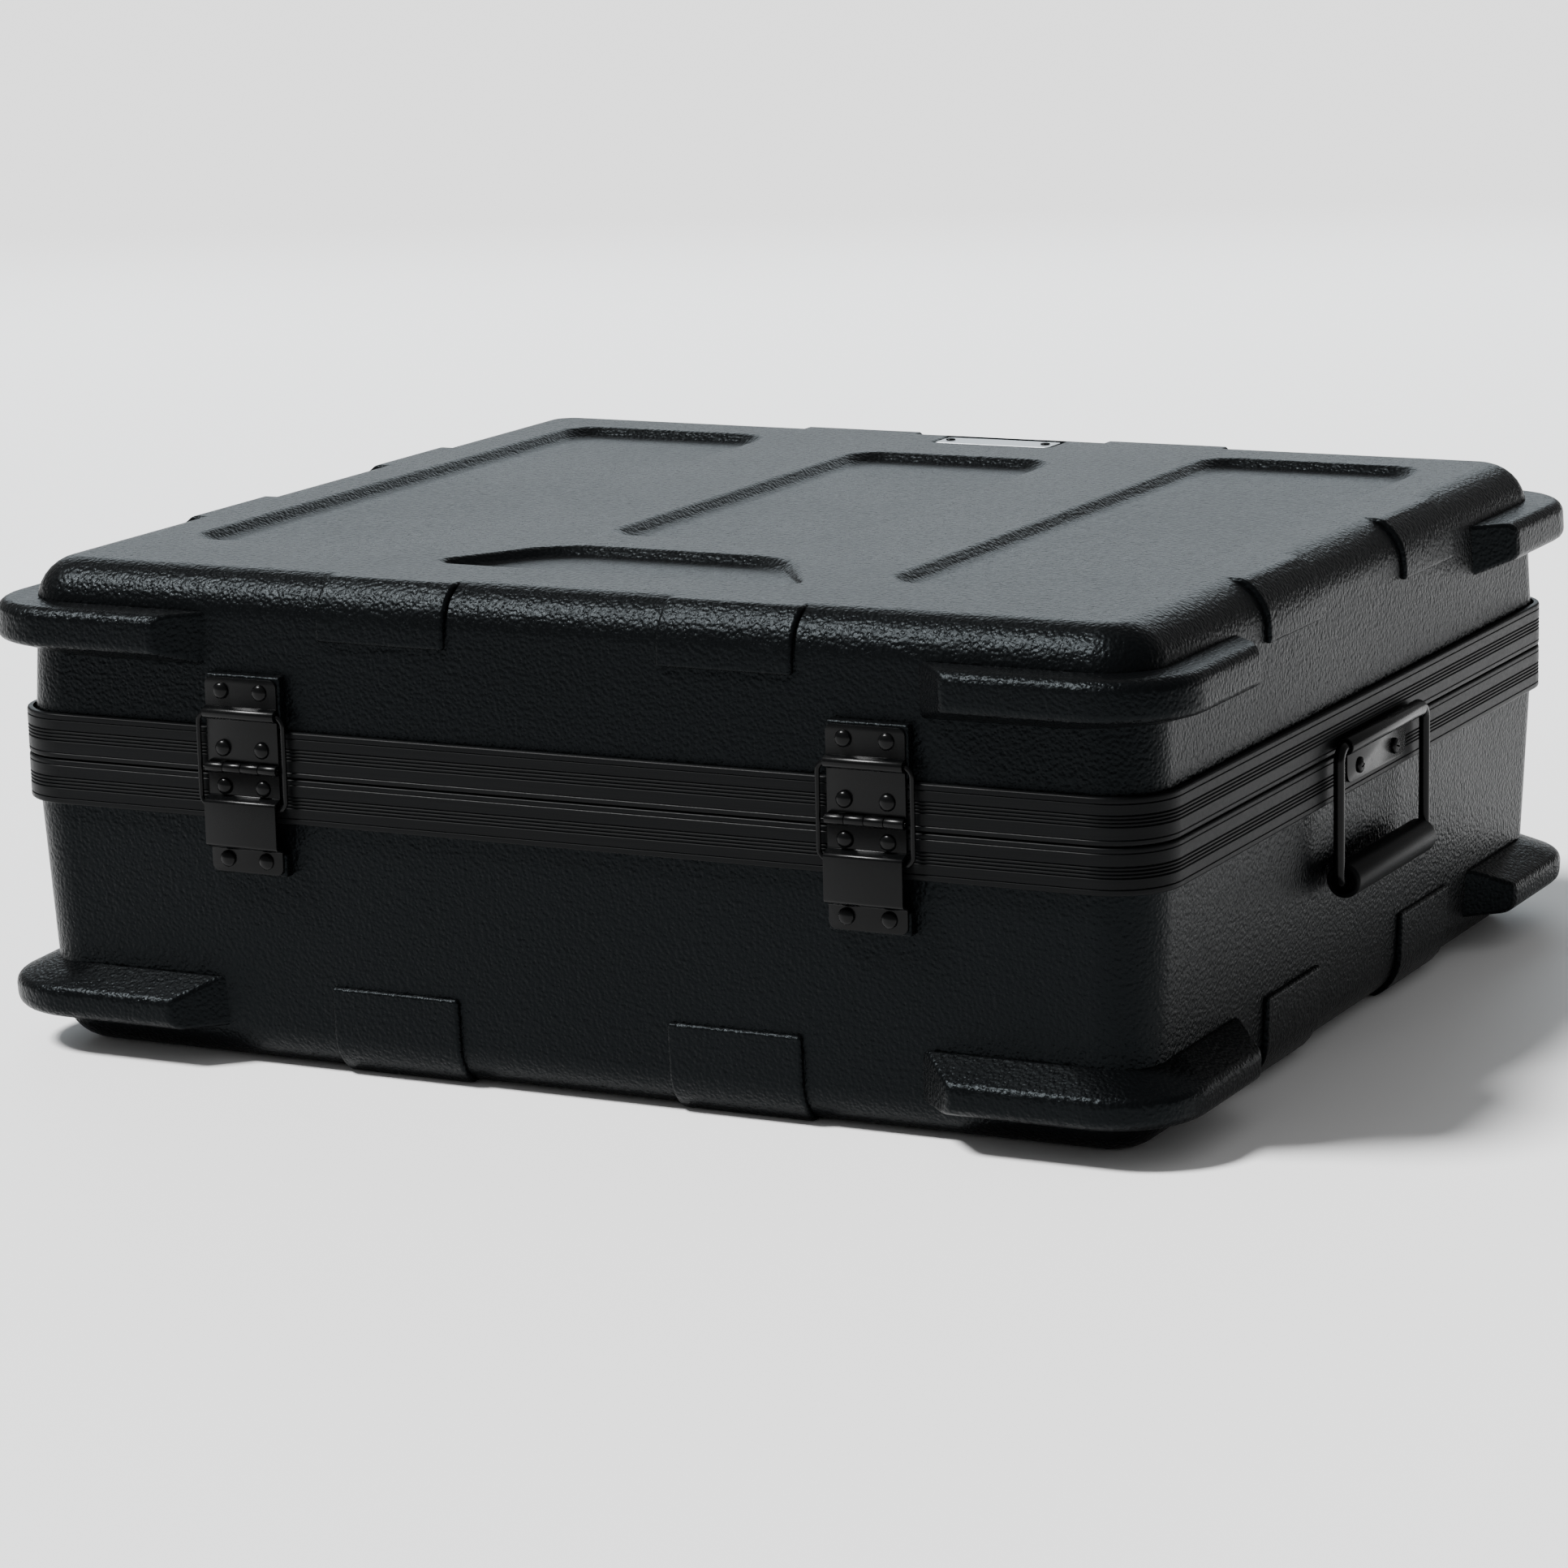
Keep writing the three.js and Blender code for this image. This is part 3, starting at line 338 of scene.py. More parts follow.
def dome(radius, rim, tall, steps):
    """The profile of a round head: a flat foot, a short rim and a dome."""
    angles = [math.pi / 2 * step / steps for step in range(steps + 1)]
    curve = [(radius * math.cos(a), rim + (tall - rim) * math.sin(a)) for a in angles]
    return [(0, 0), (radius, 0), *curve]


def lathe(name, profile, sides):
    """A closed profile of (radius, height) spun round Z."""
    piece = chain(name, [(radius, 0, height) for radius, height in profile])
    bpy.ops.mesh.spin(steps=sides, angle=2 * math.pi, center=(0, 0, 0), axis=(0, 0, 1))
    bpy.ops.mesh.select_all(action="SELECT")
    bpy.ops.mesh.remove_doubles(threshold=0.002 * MM)
    bpy.ops.mesh.normals_make_consistent(inside=False)
    leave_edit()
    return piece


def placed(piece, matrix):
    piece.matrix_world = matrix
    activate(piece)
    bpy.ops.object.transform_apply(location=True, rotation=True, scale=True)
    return piece


def turned(piece, angle):
    return placed(piece, Matrix.Rotation(angle, 4, "Z"))


def twin_of(master, name, matrix):
    """A copy with its own mesh, set in its place."""
    twin = master.copy()
    twin.data = master.data.copy()
    twin.name = name
    bpy.context.scene.collection.objects.link(twin)
    return placed(twin, matrix)


def on_wall(turn, reach, along):
    """Axes on a wall: x along it, y out of its face, z up from the parting plane."""
    return Matrix.Rotation(turn, 4, "Z") @ Matrix.Translation((along, reach, PARTING))


def bent_sheet(name, line, half, rounded_ends, corner=4 * MM, bend=0.0, thickness=None):
    """A sheet bent along a line of (out, up) points, with some of its ends' corners rounded."""
    piece = chain(name, [(-half, out, up) for out, up in line])
    bpy.ops.mesh.extrude_region_move(TRANSFORM_OT_translate={"value": (2 * half, 0, 0)})
    leave_edit()
    if bend:
        bevel_edges(piece, lambda edge: runs_along(edge, 0) and not edge.is_boundary, bend, 4)
    for end in rounded_ends:
        pick(piece, "VERT", lambda vertex: abs(vertex.co.z - end) < MM / 50)
        bpy.ops.mesh.bevel(offset=corner, segments=6, affect="VERTICES")
        leave_edit()
    modifier = piece.modifiers.new("Thickness", "SOLIDIFY")
    modifier.thickness = thickness or SHEET
    modifier.offset = 0
    modifier.use_even_offset = True
    apply_modifier(piece, modifier)
    pick(piece, "FACE", lambda face: True)
    bpy.ops.mesh.normals_make_consistent(inside=False)
    leave_edit()
    soften(piece, sizes().sheet_edge, 2, 50)
    return piece


def wire_loop(name, half, top, bottom, out, top_corner, bottom_corner, radius):
    """A closed rectangular loop of wire, parallel to the wall."""
    route = [(0, top)]
    route += arc((half - top_corner, top - top_corner), top_corner, 90, 0, 8)
    route += arc((half - bottom_corner, bottom + bottom_corner), bottom_corner, 0, -90, 8)
    route += arc((bottom_corner - half, bottom + bottom_corner), bottom_corner, -90, -180, 8)
    route += arc((top_corner - half, top - top_corner), top_corner, 180, 90, 8)
    piece = chain(name, [(along, out, up) for along, up in route + route[:1]])
    leave_edit()
    activate(piece)
    bpy.ops.object.convert(target="CURVE")
    wire = bpy.context.object.data
    wire.bevel_depth = radius
    wire.bevel_resolution = 5
    bpy.ops.object.convert(target="MESH")
    return bpy.context.object


def rivets(name, half, rows):
    """Domed rivet heads, two to a row."""
    profile = dome(radius=4.6 * MM, rim=0.4 * MM, tall=3 * MM, steps=8)
    parts = []
    for up in rows:
        for side in (-1, 1):
            piece = lathe("head", profile, sides=32)
            spot = Matrix.Translation((side * half, HEAD_OUT, up))
            parts.append(placed(piece, spot @ OUTWARD))
    return join(name, parts)


def dress(node, body, slot, width):
    """A copy of a frame node with its edges broken."""
    piece = copy_of(node, f"{node}_skin")
    soften(piece, width, 2, 40)
    smooth(piece)
    return finish_piece(piece, body, slot, material(slot), node)


# ------------------------------------------------------------------ shader expressions


class Value:
    """A node socket in Python's arithmetic: each sum or product adds its Math node."""

    def __init__(self, shader, socket):
        self.shader = shader
        self.socket = socket

    def _math(self, operation, *values):
        return self.shader.node("ShaderNodeMath", dict(enumerate(values)), operation=operation)

    def __add__(self, other):
        return self._math("ADD", self, other)

    def __mul__(self, other):
        return self._math("MULTIPLY", self, other)

    def __radd__(self, other):
        return self._math("ADD", other, self)

    def __rmul__(self, other):
        return self._math("MULTIPLY", other, self)


class Shader:
    """One material and its nodes."""

    def __init__(self, name):
        self.material = bpy.data.materials.new(name)
        self.material.use_nodes = True
        self.tree = self.material.node_tree
        self.surface = self.tree.nodes["Principled BSDF"]

    def node(self, kind, sockets, output=0, **settings):
        """A new node: its settings first, then the values or links of its sockets."""
        node = self.tree.nodes.new(kind)
        for name, value in settings.items():
            setattr(node, name, value)
        for key, value in sockets.items():
            self.join(value, node.inputs[key])
        return Value(self, node.outputs[output])

    def join(self, value, socket):
        if isinstance(value, Value):
            self.tree.links.new(value.socket, socket)
        else:
            socket.default_value = value

    def place(self):
        return self.node("ShaderNodeTexCoord", {}, "Object")

    def stretched(self, scale):
        return self.node("ShaderNodeMapping", {"Vector": self.place(), "Scale": scale})

    def noise(self, vector, scale, detail=2.0):
        sockets = {"Vector": vector, "Scale": scale, "Detail": detail}
        return self.node("ShaderNodeTexNoise", sockets, "Fac")

    def cells(self, vector, scale, feature="SMOOTH_F1"):
        sockets = {"Vector": vector, "Scale": scale}
        return self.node("ShaderNodeTexVoronoi", sockets, "Distance", feature=feature)

    def between(self, value, low, high, to_low=0.0, to_high=1.0):
        """The value's range from low to high, brought to another range and kept inside it."""
        limits = {"From Min": low, "From Max": high, "To Min": to_low, "To Max": to_high}
        return self.node("ShaderNodeMapRange", {"Value": value, **limits}, "Result")

    def mix(self, factor, first, second):
        """Two plain colours mixed by a factor."""
        sockets = {0: factor, 6: (*first, 1.0), 7: (*second, 1.0)}
        return self.node("ShaderNodeMix", sockets, 2, data_type="RGBA")

    def bump(self, height, strength, distance):
        sockets = {"Strength": strength, "Distance": distance, "Height": height}
        self.join(self.node("ShaderNodeBump", sockets, "Normal"), self.surface.inputs["Normal"])

    def set(self, sockets):
        """Sets the surface's sockets and gives the finished material."""
        for name, value in sockets.items():
            self.join(value, self.surface.inputs[name])
        return self.material


def lighter(colour, times):
    return tuple(min(channel * times, 1.0) for channel in colour)


def shell_material():
    """Leather-grained polyethylene, satin, with a faint uneven bloom."""
    shader = Shader("moulded_shell")
    place = shader.place()
    warp = shader.noise(place, 380, 1.0)
    grain = shader.cells(place, 500)
    fine = shader.noise(place, 1500)
    bloom = shader.between(shader.noise(place, 9, 3.0), 0.35, 0.75)
    colour = tuple(colours().shell)
    shader.bump(grain * 0.75 + warp * 0.5 + fine * 0.18, 0.9, 0.7 * MM)
    gloss = shader.between(grain + fine * 0.3, 0.1, 0.9, 0.23, 0.37)
    return shader.set({
        "Base Color": shader.mix(bloom * 0.6, colour, lighter(colour, 1.25)),
        "Roughness": gloss + bloom * 0.03,
        "Specular IOR Level": 0.06,
        "Specular Tint": (0.8, 0.93, 1.0, 1.0),
    })


def valance_material():
    """Black anodised extrusion with faint draw lines."""
    shader = Shader("anodised_valance")
    lines = shader.noise(shader.stretched((3, 3, 900)), 4)
    specks = shader.noise(shader.place(), 700)
    colour = tuple(colours().valance)
    shader.bump(lines * 0.6 + specks * 0.4, 0.12, 0.1 * MM)
    return shader.set({
        "Base Color": shader.mix(shader.between(lines, 0.3, 0.7), colour, lighter(colour, 1.5)),
        "Roughness": shader.between(specks, 0.3, 0.7, 0.34, 0.44),
        "Specular IOR Level": 0.05,
    })


def hardware_material(name, colour, smoothest, roughest):
    """Coated steel: a thin even coat with slight orange peel."""
    shader = Shader(name)
    peel = shader.noise(shader.place(), 420)
    smudge = shader.noise(shader.place(), 38, 3.0)
    shader.bump(peel, 0.10, 0.15 * MM)
    both = peel * 0.5 + smudge * 0.5
    return shader.set({
        "Base Color": shader.mix(shader.between(smudge, 0.3, 0.8), colour, lighter(colour, 1.6)),
        "Roughness": shader.between(both, 0.3, 0.7, smoothest, roughest),
        "Specular IOR Level": 0.1,
    })


def grip_material():
    """Moulded plastic grip, finely matted."""
    shader = Shader("handle_grip")
    fine = shader.noise(shader.place(), 1300)
    colour = tuple(colours().grip)
    shader.bump(fine, 0.2, 0.1 * MM)
    return shader.set({
        "Base Color": shader.mix(fine, colour, lighter(colour, 1.3)),
        "Roughness": shader.between(fine, 0.3, 0.7, 0.36, 0.46),
        "Specular IOR Level": 0.05,
    })


def foam_material():
    """Open-cell foam: small dark pores in a soft grey."""
    shader = Shader("foam_lining")
    pores = shader.cells(shader.place(), 900, "F1")
    cloud = shader.noise(shader.place(), 26, 3.0)
    colour = tuple(colours().foam)
    pore, skin = lighter(colour, 0.45), lighter(colour, 1.1)
    shader.bump(pores, 0.7, 0.4 * MM)
    return shader.set({
        "Base Color": shader.mix(shader.between(pores, 0.1, 0.6), pore, skin),
        "Roughness": shader.between(cloud, 0.2, 0.8, 0.88, 0.98),
    })


def label_material():
    """Blank brushed aluminium plate."""
    shader = Shader("label_plate")
    brush = shader.noise(shader.stretched((1, 1400, 1)), 3)
    colour = tuple(colours().label)
    shader.bump(brush, 0.08, 0.05 * MM)
    return shader.set({
        "Base Color": shader.mix(brush, lighter(colour, 0.8), colour),
        "Roughness": shader.between(brush, 0.3, 0.7, 0.32, 0.46),
        "Metallic": 0.7,
    })


MATERIALS = {}


def material(name):
    """The finish of that name, made once."""
    if name not in MATERIALS:
        coat, powder = tuple(colours().hardware), tuple(colours().rack)
        makers = {
            "shell": shell_material,
            "valance": valance_material,
            "hardware": lambda: hardware_material("coated_hardware", coat, 0.19, 0.29),
            "rack": lambda: hardware_material("rack_powder_coat", powder, 0.42, 0.55),
            "grip": grip_material,
            "foam": foam_material,
            "label": label_material,
        }
        MATERIALS[name] = makers[name]()
    return MATERIALS[name]


# ------------------------------------------------------------------ shells


def upright_block(name, inset, foot, height, corner, segments, lean_from=0.0):
    """A block with rounded upright corners that leans in as it rises from the parting plane."""
    half = Vector((WIDTH / 2 - inset, DEPTH / 2 - inset, 0))
    piece = block(name, (-half.x, -half.y, foot), (half.x, half.y, height))
    bevel_edges(piece, lambda edge: runs_along(edge, 2), corner, segments)
    for level in (foot, height):
        shrink = LEAN * (level - lean_from)
        pick(piece, "VERT", lambda vertex: abs(vertex.co.z - level) < MM)
        scale = ((half.x - shrink) / half.x, (half.y - shrink) / half.y, 1)
        bpy.ops.transform.resize(value=scale, center_override=(0, 0, level))
        leave_edit()
    return piece


def shell_form(name, inset, foot, height, fillet, segments):
    piece = upright_block(name, inset, foot, height, CORNER - inset, segments)
    top = lambda edge: min(vertex.co.z for vertex in edge.verts) > height - MM
    bevel_edges(piece, top, fillet, max(segments - 2, 4))
    return piece


def corner_bumpers(slope_from, outer_from, outer_to, segments):
    """The raised band, cut away on each wall so that it stays only round the corners."""
    proud = BUMPER_PROUD
    crown, root, foot = 7 * MM, 4 * MM, 2.5 * MM
    buried, clear, wedge = 3 * MM, 12 * MM, 20 * MM
    top = outer_to + 2 * MM
    halfway = (slope_from + top) / 2
    band = upright_block("bumpers", -proud, slope_from, top, CORNER + proud, segments, halfway)
    bisect(band, outer_from)
    pick(band, "VERT", lambda vertex: vertex.co.z < slope_from + MM)
    inward = proud + WALL_INSET + buried
    half_x, half_y = WIDTH / 2 + proud, DEPTH / 2 + proud
    shrink = ((half_x - inward) / half_x, (half_y - inward) / half_y, 1)
    bpy.ops.transform.resize(value=shrink, center_override=(0, 0, slope_from))
    leave_edit()
    bevel_edges(band, lambda edge: min(v.co.z for v in edge.verts) > top - MM, crown, 5)
    bevel_edges(band, lambda edge: abs(middle(edge).z - outer_from) < 0.5 * MM, root, 3)
    for turn, reach, out in (
        (0, WIDTH / 2, half_y), (math.pi, WIDTH / 2, half_y),
        (math.pi / 2, DEPTH / 2, half_x), (-math.pi / 2, DEPTH / 2, half_x),
    ):
        inner = reach - BUMPER_ARM - wedge
        low = (-inner, out - wedge - clear, slope_from - 20 * MM)
        gap = block("gap", low, (inner, out + clear, top + 20 * MM))
        pick(gap, "VERT", lambda vertex: vertex.co.y > out)
        spread = (inner + wedge + 2 * clear) / inner
        bpy.ops.transform.resize(value=(spread, 1, 1), center_override=(0, out, 0))
        leave_edit()
        gap.matrix_world = Matrix.Rotation(turn, 4, "Z")
        boolean(band, gap, "DIFFERENCE")
    soften(band, foot, 3, 38)
    return band


def edge_pads(height, start, segments):
    """Thin pads that wrap over the far edge, two to a side."""
    pads = []
    lap = 12 * MM
    inward = FILLET + WALL_INSET + LEAN * height + lap
    for turn, reach in (
        (0, DEPTH / 2), (math.pi, DEPTH / 2), (math.pi / 2, WIDTH / 2), (-math.pi / 2, WIDTH / 2),
    ):
        for x in (-PAD_PITCH / 2, PAD_PITCH / 2):
            inset, tall, fillet = WALL_INSET - PAD_PROUD, height + PAD_PROUD, FILLET + PAD_PROUD
            grown = shell_form("pad", inset, 20 * MM, tall, fillet, segments)
            low = (x - PAD_WIDE / 2, reach - inward, start)
            high = (x + PAD_WIDE / 2, reach + 50 * MM, height)
            piece = block("slice", low, high)
            turned(piece, turn)
            boolean(piece, grown, "INTERSECT")
            soften(piece, sizes().edge_softness, 3, 50)
            pads.append(piece)
    return pads


def moulded_shell(name, height, bumper, pad_start):
    """A shell standing on the plane z = 0, open below, with its bumpers and pads."""
    segments = sizes().corner_segments
    piece = shell_form(name, WALL_INSET, RIM, height, FILLET, segments)
    boolean(piece, corner_bumpers(*bumper, segments), "UNION")
    for pad in edge_pads(height, pad_start, segments):
        boolean(piece, pad, "UNION")
    inset, foot = WALL_INSET + WALL, RIM - 20 * MM
    hollow = shell_form("hollow", inset, foot, height - WALL, FILLET - WALL, segments)
    return boolean(piece, hollow, "DIFFERENCE")


def hardware_seat(wall_out, along, half, low, high):
    """A flat boss under the hardware, moulded out to the valance's face."""
    face = DEPTH / 2
    piece = block("seat", (along - half, face - 12 * MM, low), (along + half, face, high))
    if wall_out < 0:
        turned(piece, math.pi)
    soften(piece, 1.5 * MM, 3, 50)
    return piece


def panel_tool(outline, height, depth, slope, corner):
    """A tool for a recess: rounded corners and sloped sides. The outline is a list of corners."""
    above = 4 * MM
    over = 0.37 * MM
    floor = height - depth
    deselect()
    bpy.ops.mesh.primitive_circle_add(vertices=len(outline), radius=1, fill_type="NGON")
    piece = bpy.context.object
    for vertex, (x, y) in zip(piece.data.vertices, outline):
        vertex.co = (x, y, height + above)
    centre = sum((Vector(point) for point in outline), Vector((0, 0))) / len(outline)
    pick(piece, "FACE", lambda face: True)
    bpy.ops.mesh.bevel(offset=corner, segments=6, affect="VERTICES")
    bpy.ops.mesh.select_all(action="SELECT")
    for drop in (over - above, -depth - over):
        bpy.ops.mesh.extrude_region_move(TRANSFORM_OT_translate={"value": (0, 0, drop)})
    leave_edit()
    pick(
        piece, "FACE",
        lambda face: face.calc_center_median().z < floor + MM / 2 and len(face.verts) > 4,
    )
    half_x = max(x for x, _ in outline) - centre.x
    half_y = max(y for _, y in outline) - centre.y
    shrink = ((half_x - slope) / half_x, (half_y - slope) / half_y, 1)
    bpy.ops.transform.resize(value=shrink, center_override=(centre.x, centre.y, floor))
    bpy.ops.mesh.select_all(action="SELECT")
    bpy.ops.mesh.normals_make_consistent(inside=False)
    leave_edit()
    bevel_edges(piece, lambda edge: max(v.co.z for v in edge.verts) < floor + MM / 2, 2.5 * MM, 3)
    return piece


def rectangle(x0, x1, y0, y1):
    return [(x0, y0), (x1, y0), (x1, y1), (x0, y1)]


def lid_panels():
    """Outlines of the lid's recessed panels."""
    inner, outer, near, far = 146 * MM, 288 * MM, -250 * MM, 210 * MM
    return [
        rectangle(inner, outer, near, far),
        rectangle(-outer, -inner, near, far),
        rectangle(-68 * MM, 68 * MM, -208 * MM, 122 * MM),
        [(-118 * MM, 237 * MM), (-70 * MM, 160 * MM), (70 * MM, 160 * MM), (118 * MM, 237 * MM)],
    ]


def raise_to_parting(piece, turned_over=False):
    """Moves a shell made on the plane z = 0 to its place on the parting plane."""
    turn = Matrix.Rotation(math.pi if turned_over else 0, 4, "X")
    placed(piece, Matrix.Translation((0, 0, PARTING)) @ turn)


def seats_for(part):
    """The hardware seats of the lid or the base, under the hinges and the latches."""
    names = {"lid": ("lid_leaf", "keeper"), "base": ("base_leaf", "plate")}[part]
    margin, above = MM, 1.5 * MM
    seats = []
    for side in ("left", "right"):
        for kind, name, out in (("hinge", names[0], 1), ("latch", names[1], -1)):
            low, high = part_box(f"{kind}_{side}_{name}")
            half = (high.x - low.x) / 2 + margin
            centre = (high.x + low.x) / 2
            if part == "lid":
                foot, end = 27 * MM, high.z - PARTING
            else:
                foot, end = 42 * MM, PARTING - low.z
            seats.append((out, centre * out, half, foot, end + above))
    return seats


# ------------------------------------------------------------------ operators


class CASE_OT_lid_shell(bpy.types.Operator):
    """Model the lid's moulded shell with its panels, pads and bumpers"""

    bl_idname = "case.lid_shell"
    bl_label = "Lid shell"

    def execute(self, context):
        bumper = (58 * MM, 66 * MM, 85 * MM)
        piece = moulded_shell("lid_shell_skin", LID_TALL, bumper, pad_start=75 * MM)
        for seat in seats_for("lid"):
            boolean(piece, hardware_seat(*seat), "UNION")
        corner = 20 * MM
        for outline in lid_panels():
            back = panel_tool(outline, LID_TALL - 6.5 * MM, 3.4 * MM, 0.1 * MM, corner)
            boolean(piece, back, "UNION")
        for outline in lid_panels():
            recess = panel_tool(outline, LID_TALL, 5.4 * MM, 7.5 * MM, corner)
            boolean(piece, recess, "DIFFERENCE")
        low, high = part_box("label_plate")
        margin = 2 * MM
        label = rectangle(low.x - margin, high.x + margin, low.y - margin, high.y + margin)
        boolean(piece, panel_tool(label, LID_TALL, 2.2 * MM, 1 * MM, 3 * MM), "DIFFERENCE")
        clean(piece)
        bevel_edges(piece, self.on_rim, 2.2 * MM, 3)
        raise_to_parting(piece)
        smooth(piece)
        finish_piece(piece, "lid", "shell", material("shell"), "lid_shell")
        return {"FINISHED"}

    @staticmethod
    def on_rim(edge):
        """True for an edge between the lid's flat top and a panel's slope."""
        if any(abs(vertex.co.z - LID_TALL) >= 0.02 * MM for vertex in edge.verts):
            return False
        normals = [face.normal.z for face in edge.link_faces]
        return len(normals) == 2 and max(normals) > 0.999 and min(normals) < 0.9


class CASE_OT_base_shell(bpy.types.Operator):
    """Model the base's moulded shell with its pads and bumpers"""

    bl_idname = "case.base_shell"
    bl_label = "Base shell"

    def execute(self, context):
        bumper = (117 * MM, 128 * MM, 143 * MM)
        piece = moulded_shell("base_shell_skin", BASE_TALL, bumper, pad_start=116 * MM)
        for out, along, half, low, high in seats_for("base"):
            boolean(piece, hardware_seat(-out, -along, half, low, high), "UNION")
        clean(piece)
        raise_to_parting(piece, turned_over=True)
        smooth(piece)
        finish_piece(piece, "base", "shell", material("shell"), "base_shell")
        return {"FINISHED"}


class CASE_OT_valances(bpy.types.Operator):
    """Model the two aluminium edgings with their fine grooves"""

    bl_idname = "case.valances"
    bl_label = "Valances"

    def execute(self, context):
        for part in ("lid", "base"):
            piece = self.edging(f"{part}_valance_skin")
            if part == "lid":
                groove = self.band("groove", 4.2 * MM, 8 * MM, GAP - MM, 3.6 * MM)
                boolean(piece, groove, "DIFFERENCE")
            else:
                tongue = self.band("tongue", 5.2 * MM, 7 * MM, -MM - GAP, 2.4 * MM)
                boolean(piece, tongue, "UNION")
            clean(piece)
            raise_to_parting(piece, turned_over=part == "base")
            smooth(piece, weighted=False)
            finish_piece(piece, part, "valance", material("valance"), f"{part}_valance")
        return {"FINISHED"}

    @staticmethod
    def slab(name, inset, low, high):
        half = Vector((WIDTH / 2 - inset, DEPTH / 2 - inset, 0))
        piece = block(name, (-half.x, -half.y, low), (half.x, half.y, high))
        bevel_edges(piece, lambda edge: runs_along(edge, 2), CORNER - inset, sizes().corner_segments)
        return piece

    def band(self, name, outer, inner, low, high):
        piece = self.slab(name, outer, low, high)
        return boolean(piece, self.slab("inside", inner, low - MM, high + MM), "DIFFERENCE")

    def edging(self, name):
        piece = self.slab(name, 0, GAP, VALANCE_TALL)
        ends = lambda edge: abs(edge.verts[0].co.z - edge.verts[1].co.z) < MM / 10
        bevel_edges(piece, ends, 1.2 * MM, 3)
        for height, half, depth in self.grooves():
            for level in (height - half, height, height + half):
                bisect(piece, level)
            pick(piece, "VERT", lambda vertex: abs(vertex.co.z - height) < MM / 50)
            shrink = (1 - 2 * depth / WIDTH, 1 - 2 * depth / DEPTH, 1)
            bpy.ops.transform.resize(value=shrink, center_override=(0, 0, height))
            leave_edit()
        above = VALANCE_TALL + MM
        boolean(piece, self.slab("through", 9 * MM, -MM, above), "DIFFERENCE")
        return boolean(piece, self.slab("channel", 3.2 * MM, 6 * MM, above), "DIFFERENCE")

    @staticmethod
    def grooves():
        """Height, half width and depth of each groove along a valance."""
        centre, pitch, depth = VALANCE_TALL * 0.52, 1.9 * MM, sizes().rib_depth
        ribs = [(centre + step * pitch, 0.6 * MM, depth) for step in (-1.5, -0.5, 0.5, 1.5)]
        lips = [(VALANCE_TALL - 3.4 * MM, 0.45 * MM, 0.55 * MM), (3.4 * MM, 0.45 * MM, 0.4 * MM)]
        return ribs + lips


class CASE_OT_hinges(bpy.types.Operator):
    """Model the two hinges: leaves, knuckles, pins, rivets and wire stays"""

    bl_idname = "case.hinges"
    bl_label = "Hinges"

    width = 45 * MM
    axis_out = 3.2 * MM
    axis_up = 4.2 * MM
    rivet_half = 12.25 * MM
    stay_up = 34 * MM

    def execute(self, context):
        centre = (0, self.axis_out, self.axis_up)
        pin = rod("pin", centre, radius=1.45 * MM, length=46 * MM)
        stay = wire_loop(
            "stay", half=26.8 * MM, top=self.stay_up, bottom=-17.4 * MM, out=3 * MM,
            top_corner=5.5 * MM, bottom_corner=5.5 * MM, radius=1.4 * MM,
        )
        masters = [
            (self.lid_leaf(), "lid_leaf", "lid"),
            (self.base_leaf(), "base_leaf", "base"),
            (pin, "pin", "base"),
            (stay, "stay", None),
            (rivets("lid_rivets", self.rivet_half, (46.3 * MM, 14.6 * MM)), "lid_rivets", "lid"),
            (rivets("base_rivets", self.rivet_half, (-6.4 * MM, -46.8 * MM)), "base_rivets", "base"),
        ]
        for master, _, _ in masters:
            smooth(master, weighted=False)
        for side in ("left", "right"):
            low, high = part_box(f"hinge_{side}_pin")
            place = on_wall(0, DEPTH / 2, (low.x + high.x) / 2)
            for master, part, body in masters:
                node = f"hinge_{side}_{part}"
                piece = twin_of(master, f"{node}_skin", place)
                rides = body or f"stay_{side}"
                finish_piece(piece, rides, "hardware", material("hardware"), node)
        for master, _, _ in masters:
            bpy.data.objects.remove(master)
        return {"FINISHED"}

    def lid_leaf(self):
        """A flat leaf, rolled out round the stay's upper bar."""
        face, end, rise = SHEET_OUT, 53.6 * MM, 3.1 * MM
        bend = arc((3 * MM, self.stay_up), 2.5 * MM, 80, -80, 10)
        line = [(face, end), (face, self.stay_up + rise)]
        line += bend
        line += [(face, self.stay_up - rise), (face, 6.6 * MM)]
        leaf = bent_sheet("lid_leaf", line, self.width / 2, (end,))
        return self.with_knuckles(leaf, (0, 2), 1)

    def base_leaf(self):
        """A leaf with a raised bump in which the stay's lower bar slides."""
        face, out, end = SHEET_OUT, 6.95 * MM, -54 * MM
        line = [
            (face, end), (face, -40.6 * MM), (out, -38.4 * MM),
            (out, -14.2 * MM), (face, -12 * MM), (face, 1.8 * MM),
        ]
        leaf = bent_sheet("base_leaf", line, self.width / 2, (end,), bend=1.0 * MM)
        return self.with_knuckles(leaf, (1, 3), -1)

    def with_knuckles(self, leaf, places, side):
        """Adds the leaf's knuckles round the pin, and the tabs that hold them."""
        step = self.width / 4
        length = step - 0.3 * MM
        low, high = sorted((self.axis_up, self.axis_up + side * 3.5 * MM))
        inner, outer = 0.3 * MM, 0.3 * MM + SHEET
        parts = [leaf]
        for place in places:
            along = -self.width / 2 + (place + 0.5) * step
            centre = (along, self.axis_out, self.axis_up)
            knuckle = rod("knuckle", centre, radius=2.9 * MM, length=length)
            bevel_edges(knuckle, lambda edge: not runs_along(edge, 0), 0.3 * MM, 2)
            half = length / 2
            tab = block("tab", (along - half, inner, low), (along + half, outer, high))
            parts += [knuckle, tab]
        return join(leaf.name, parts)


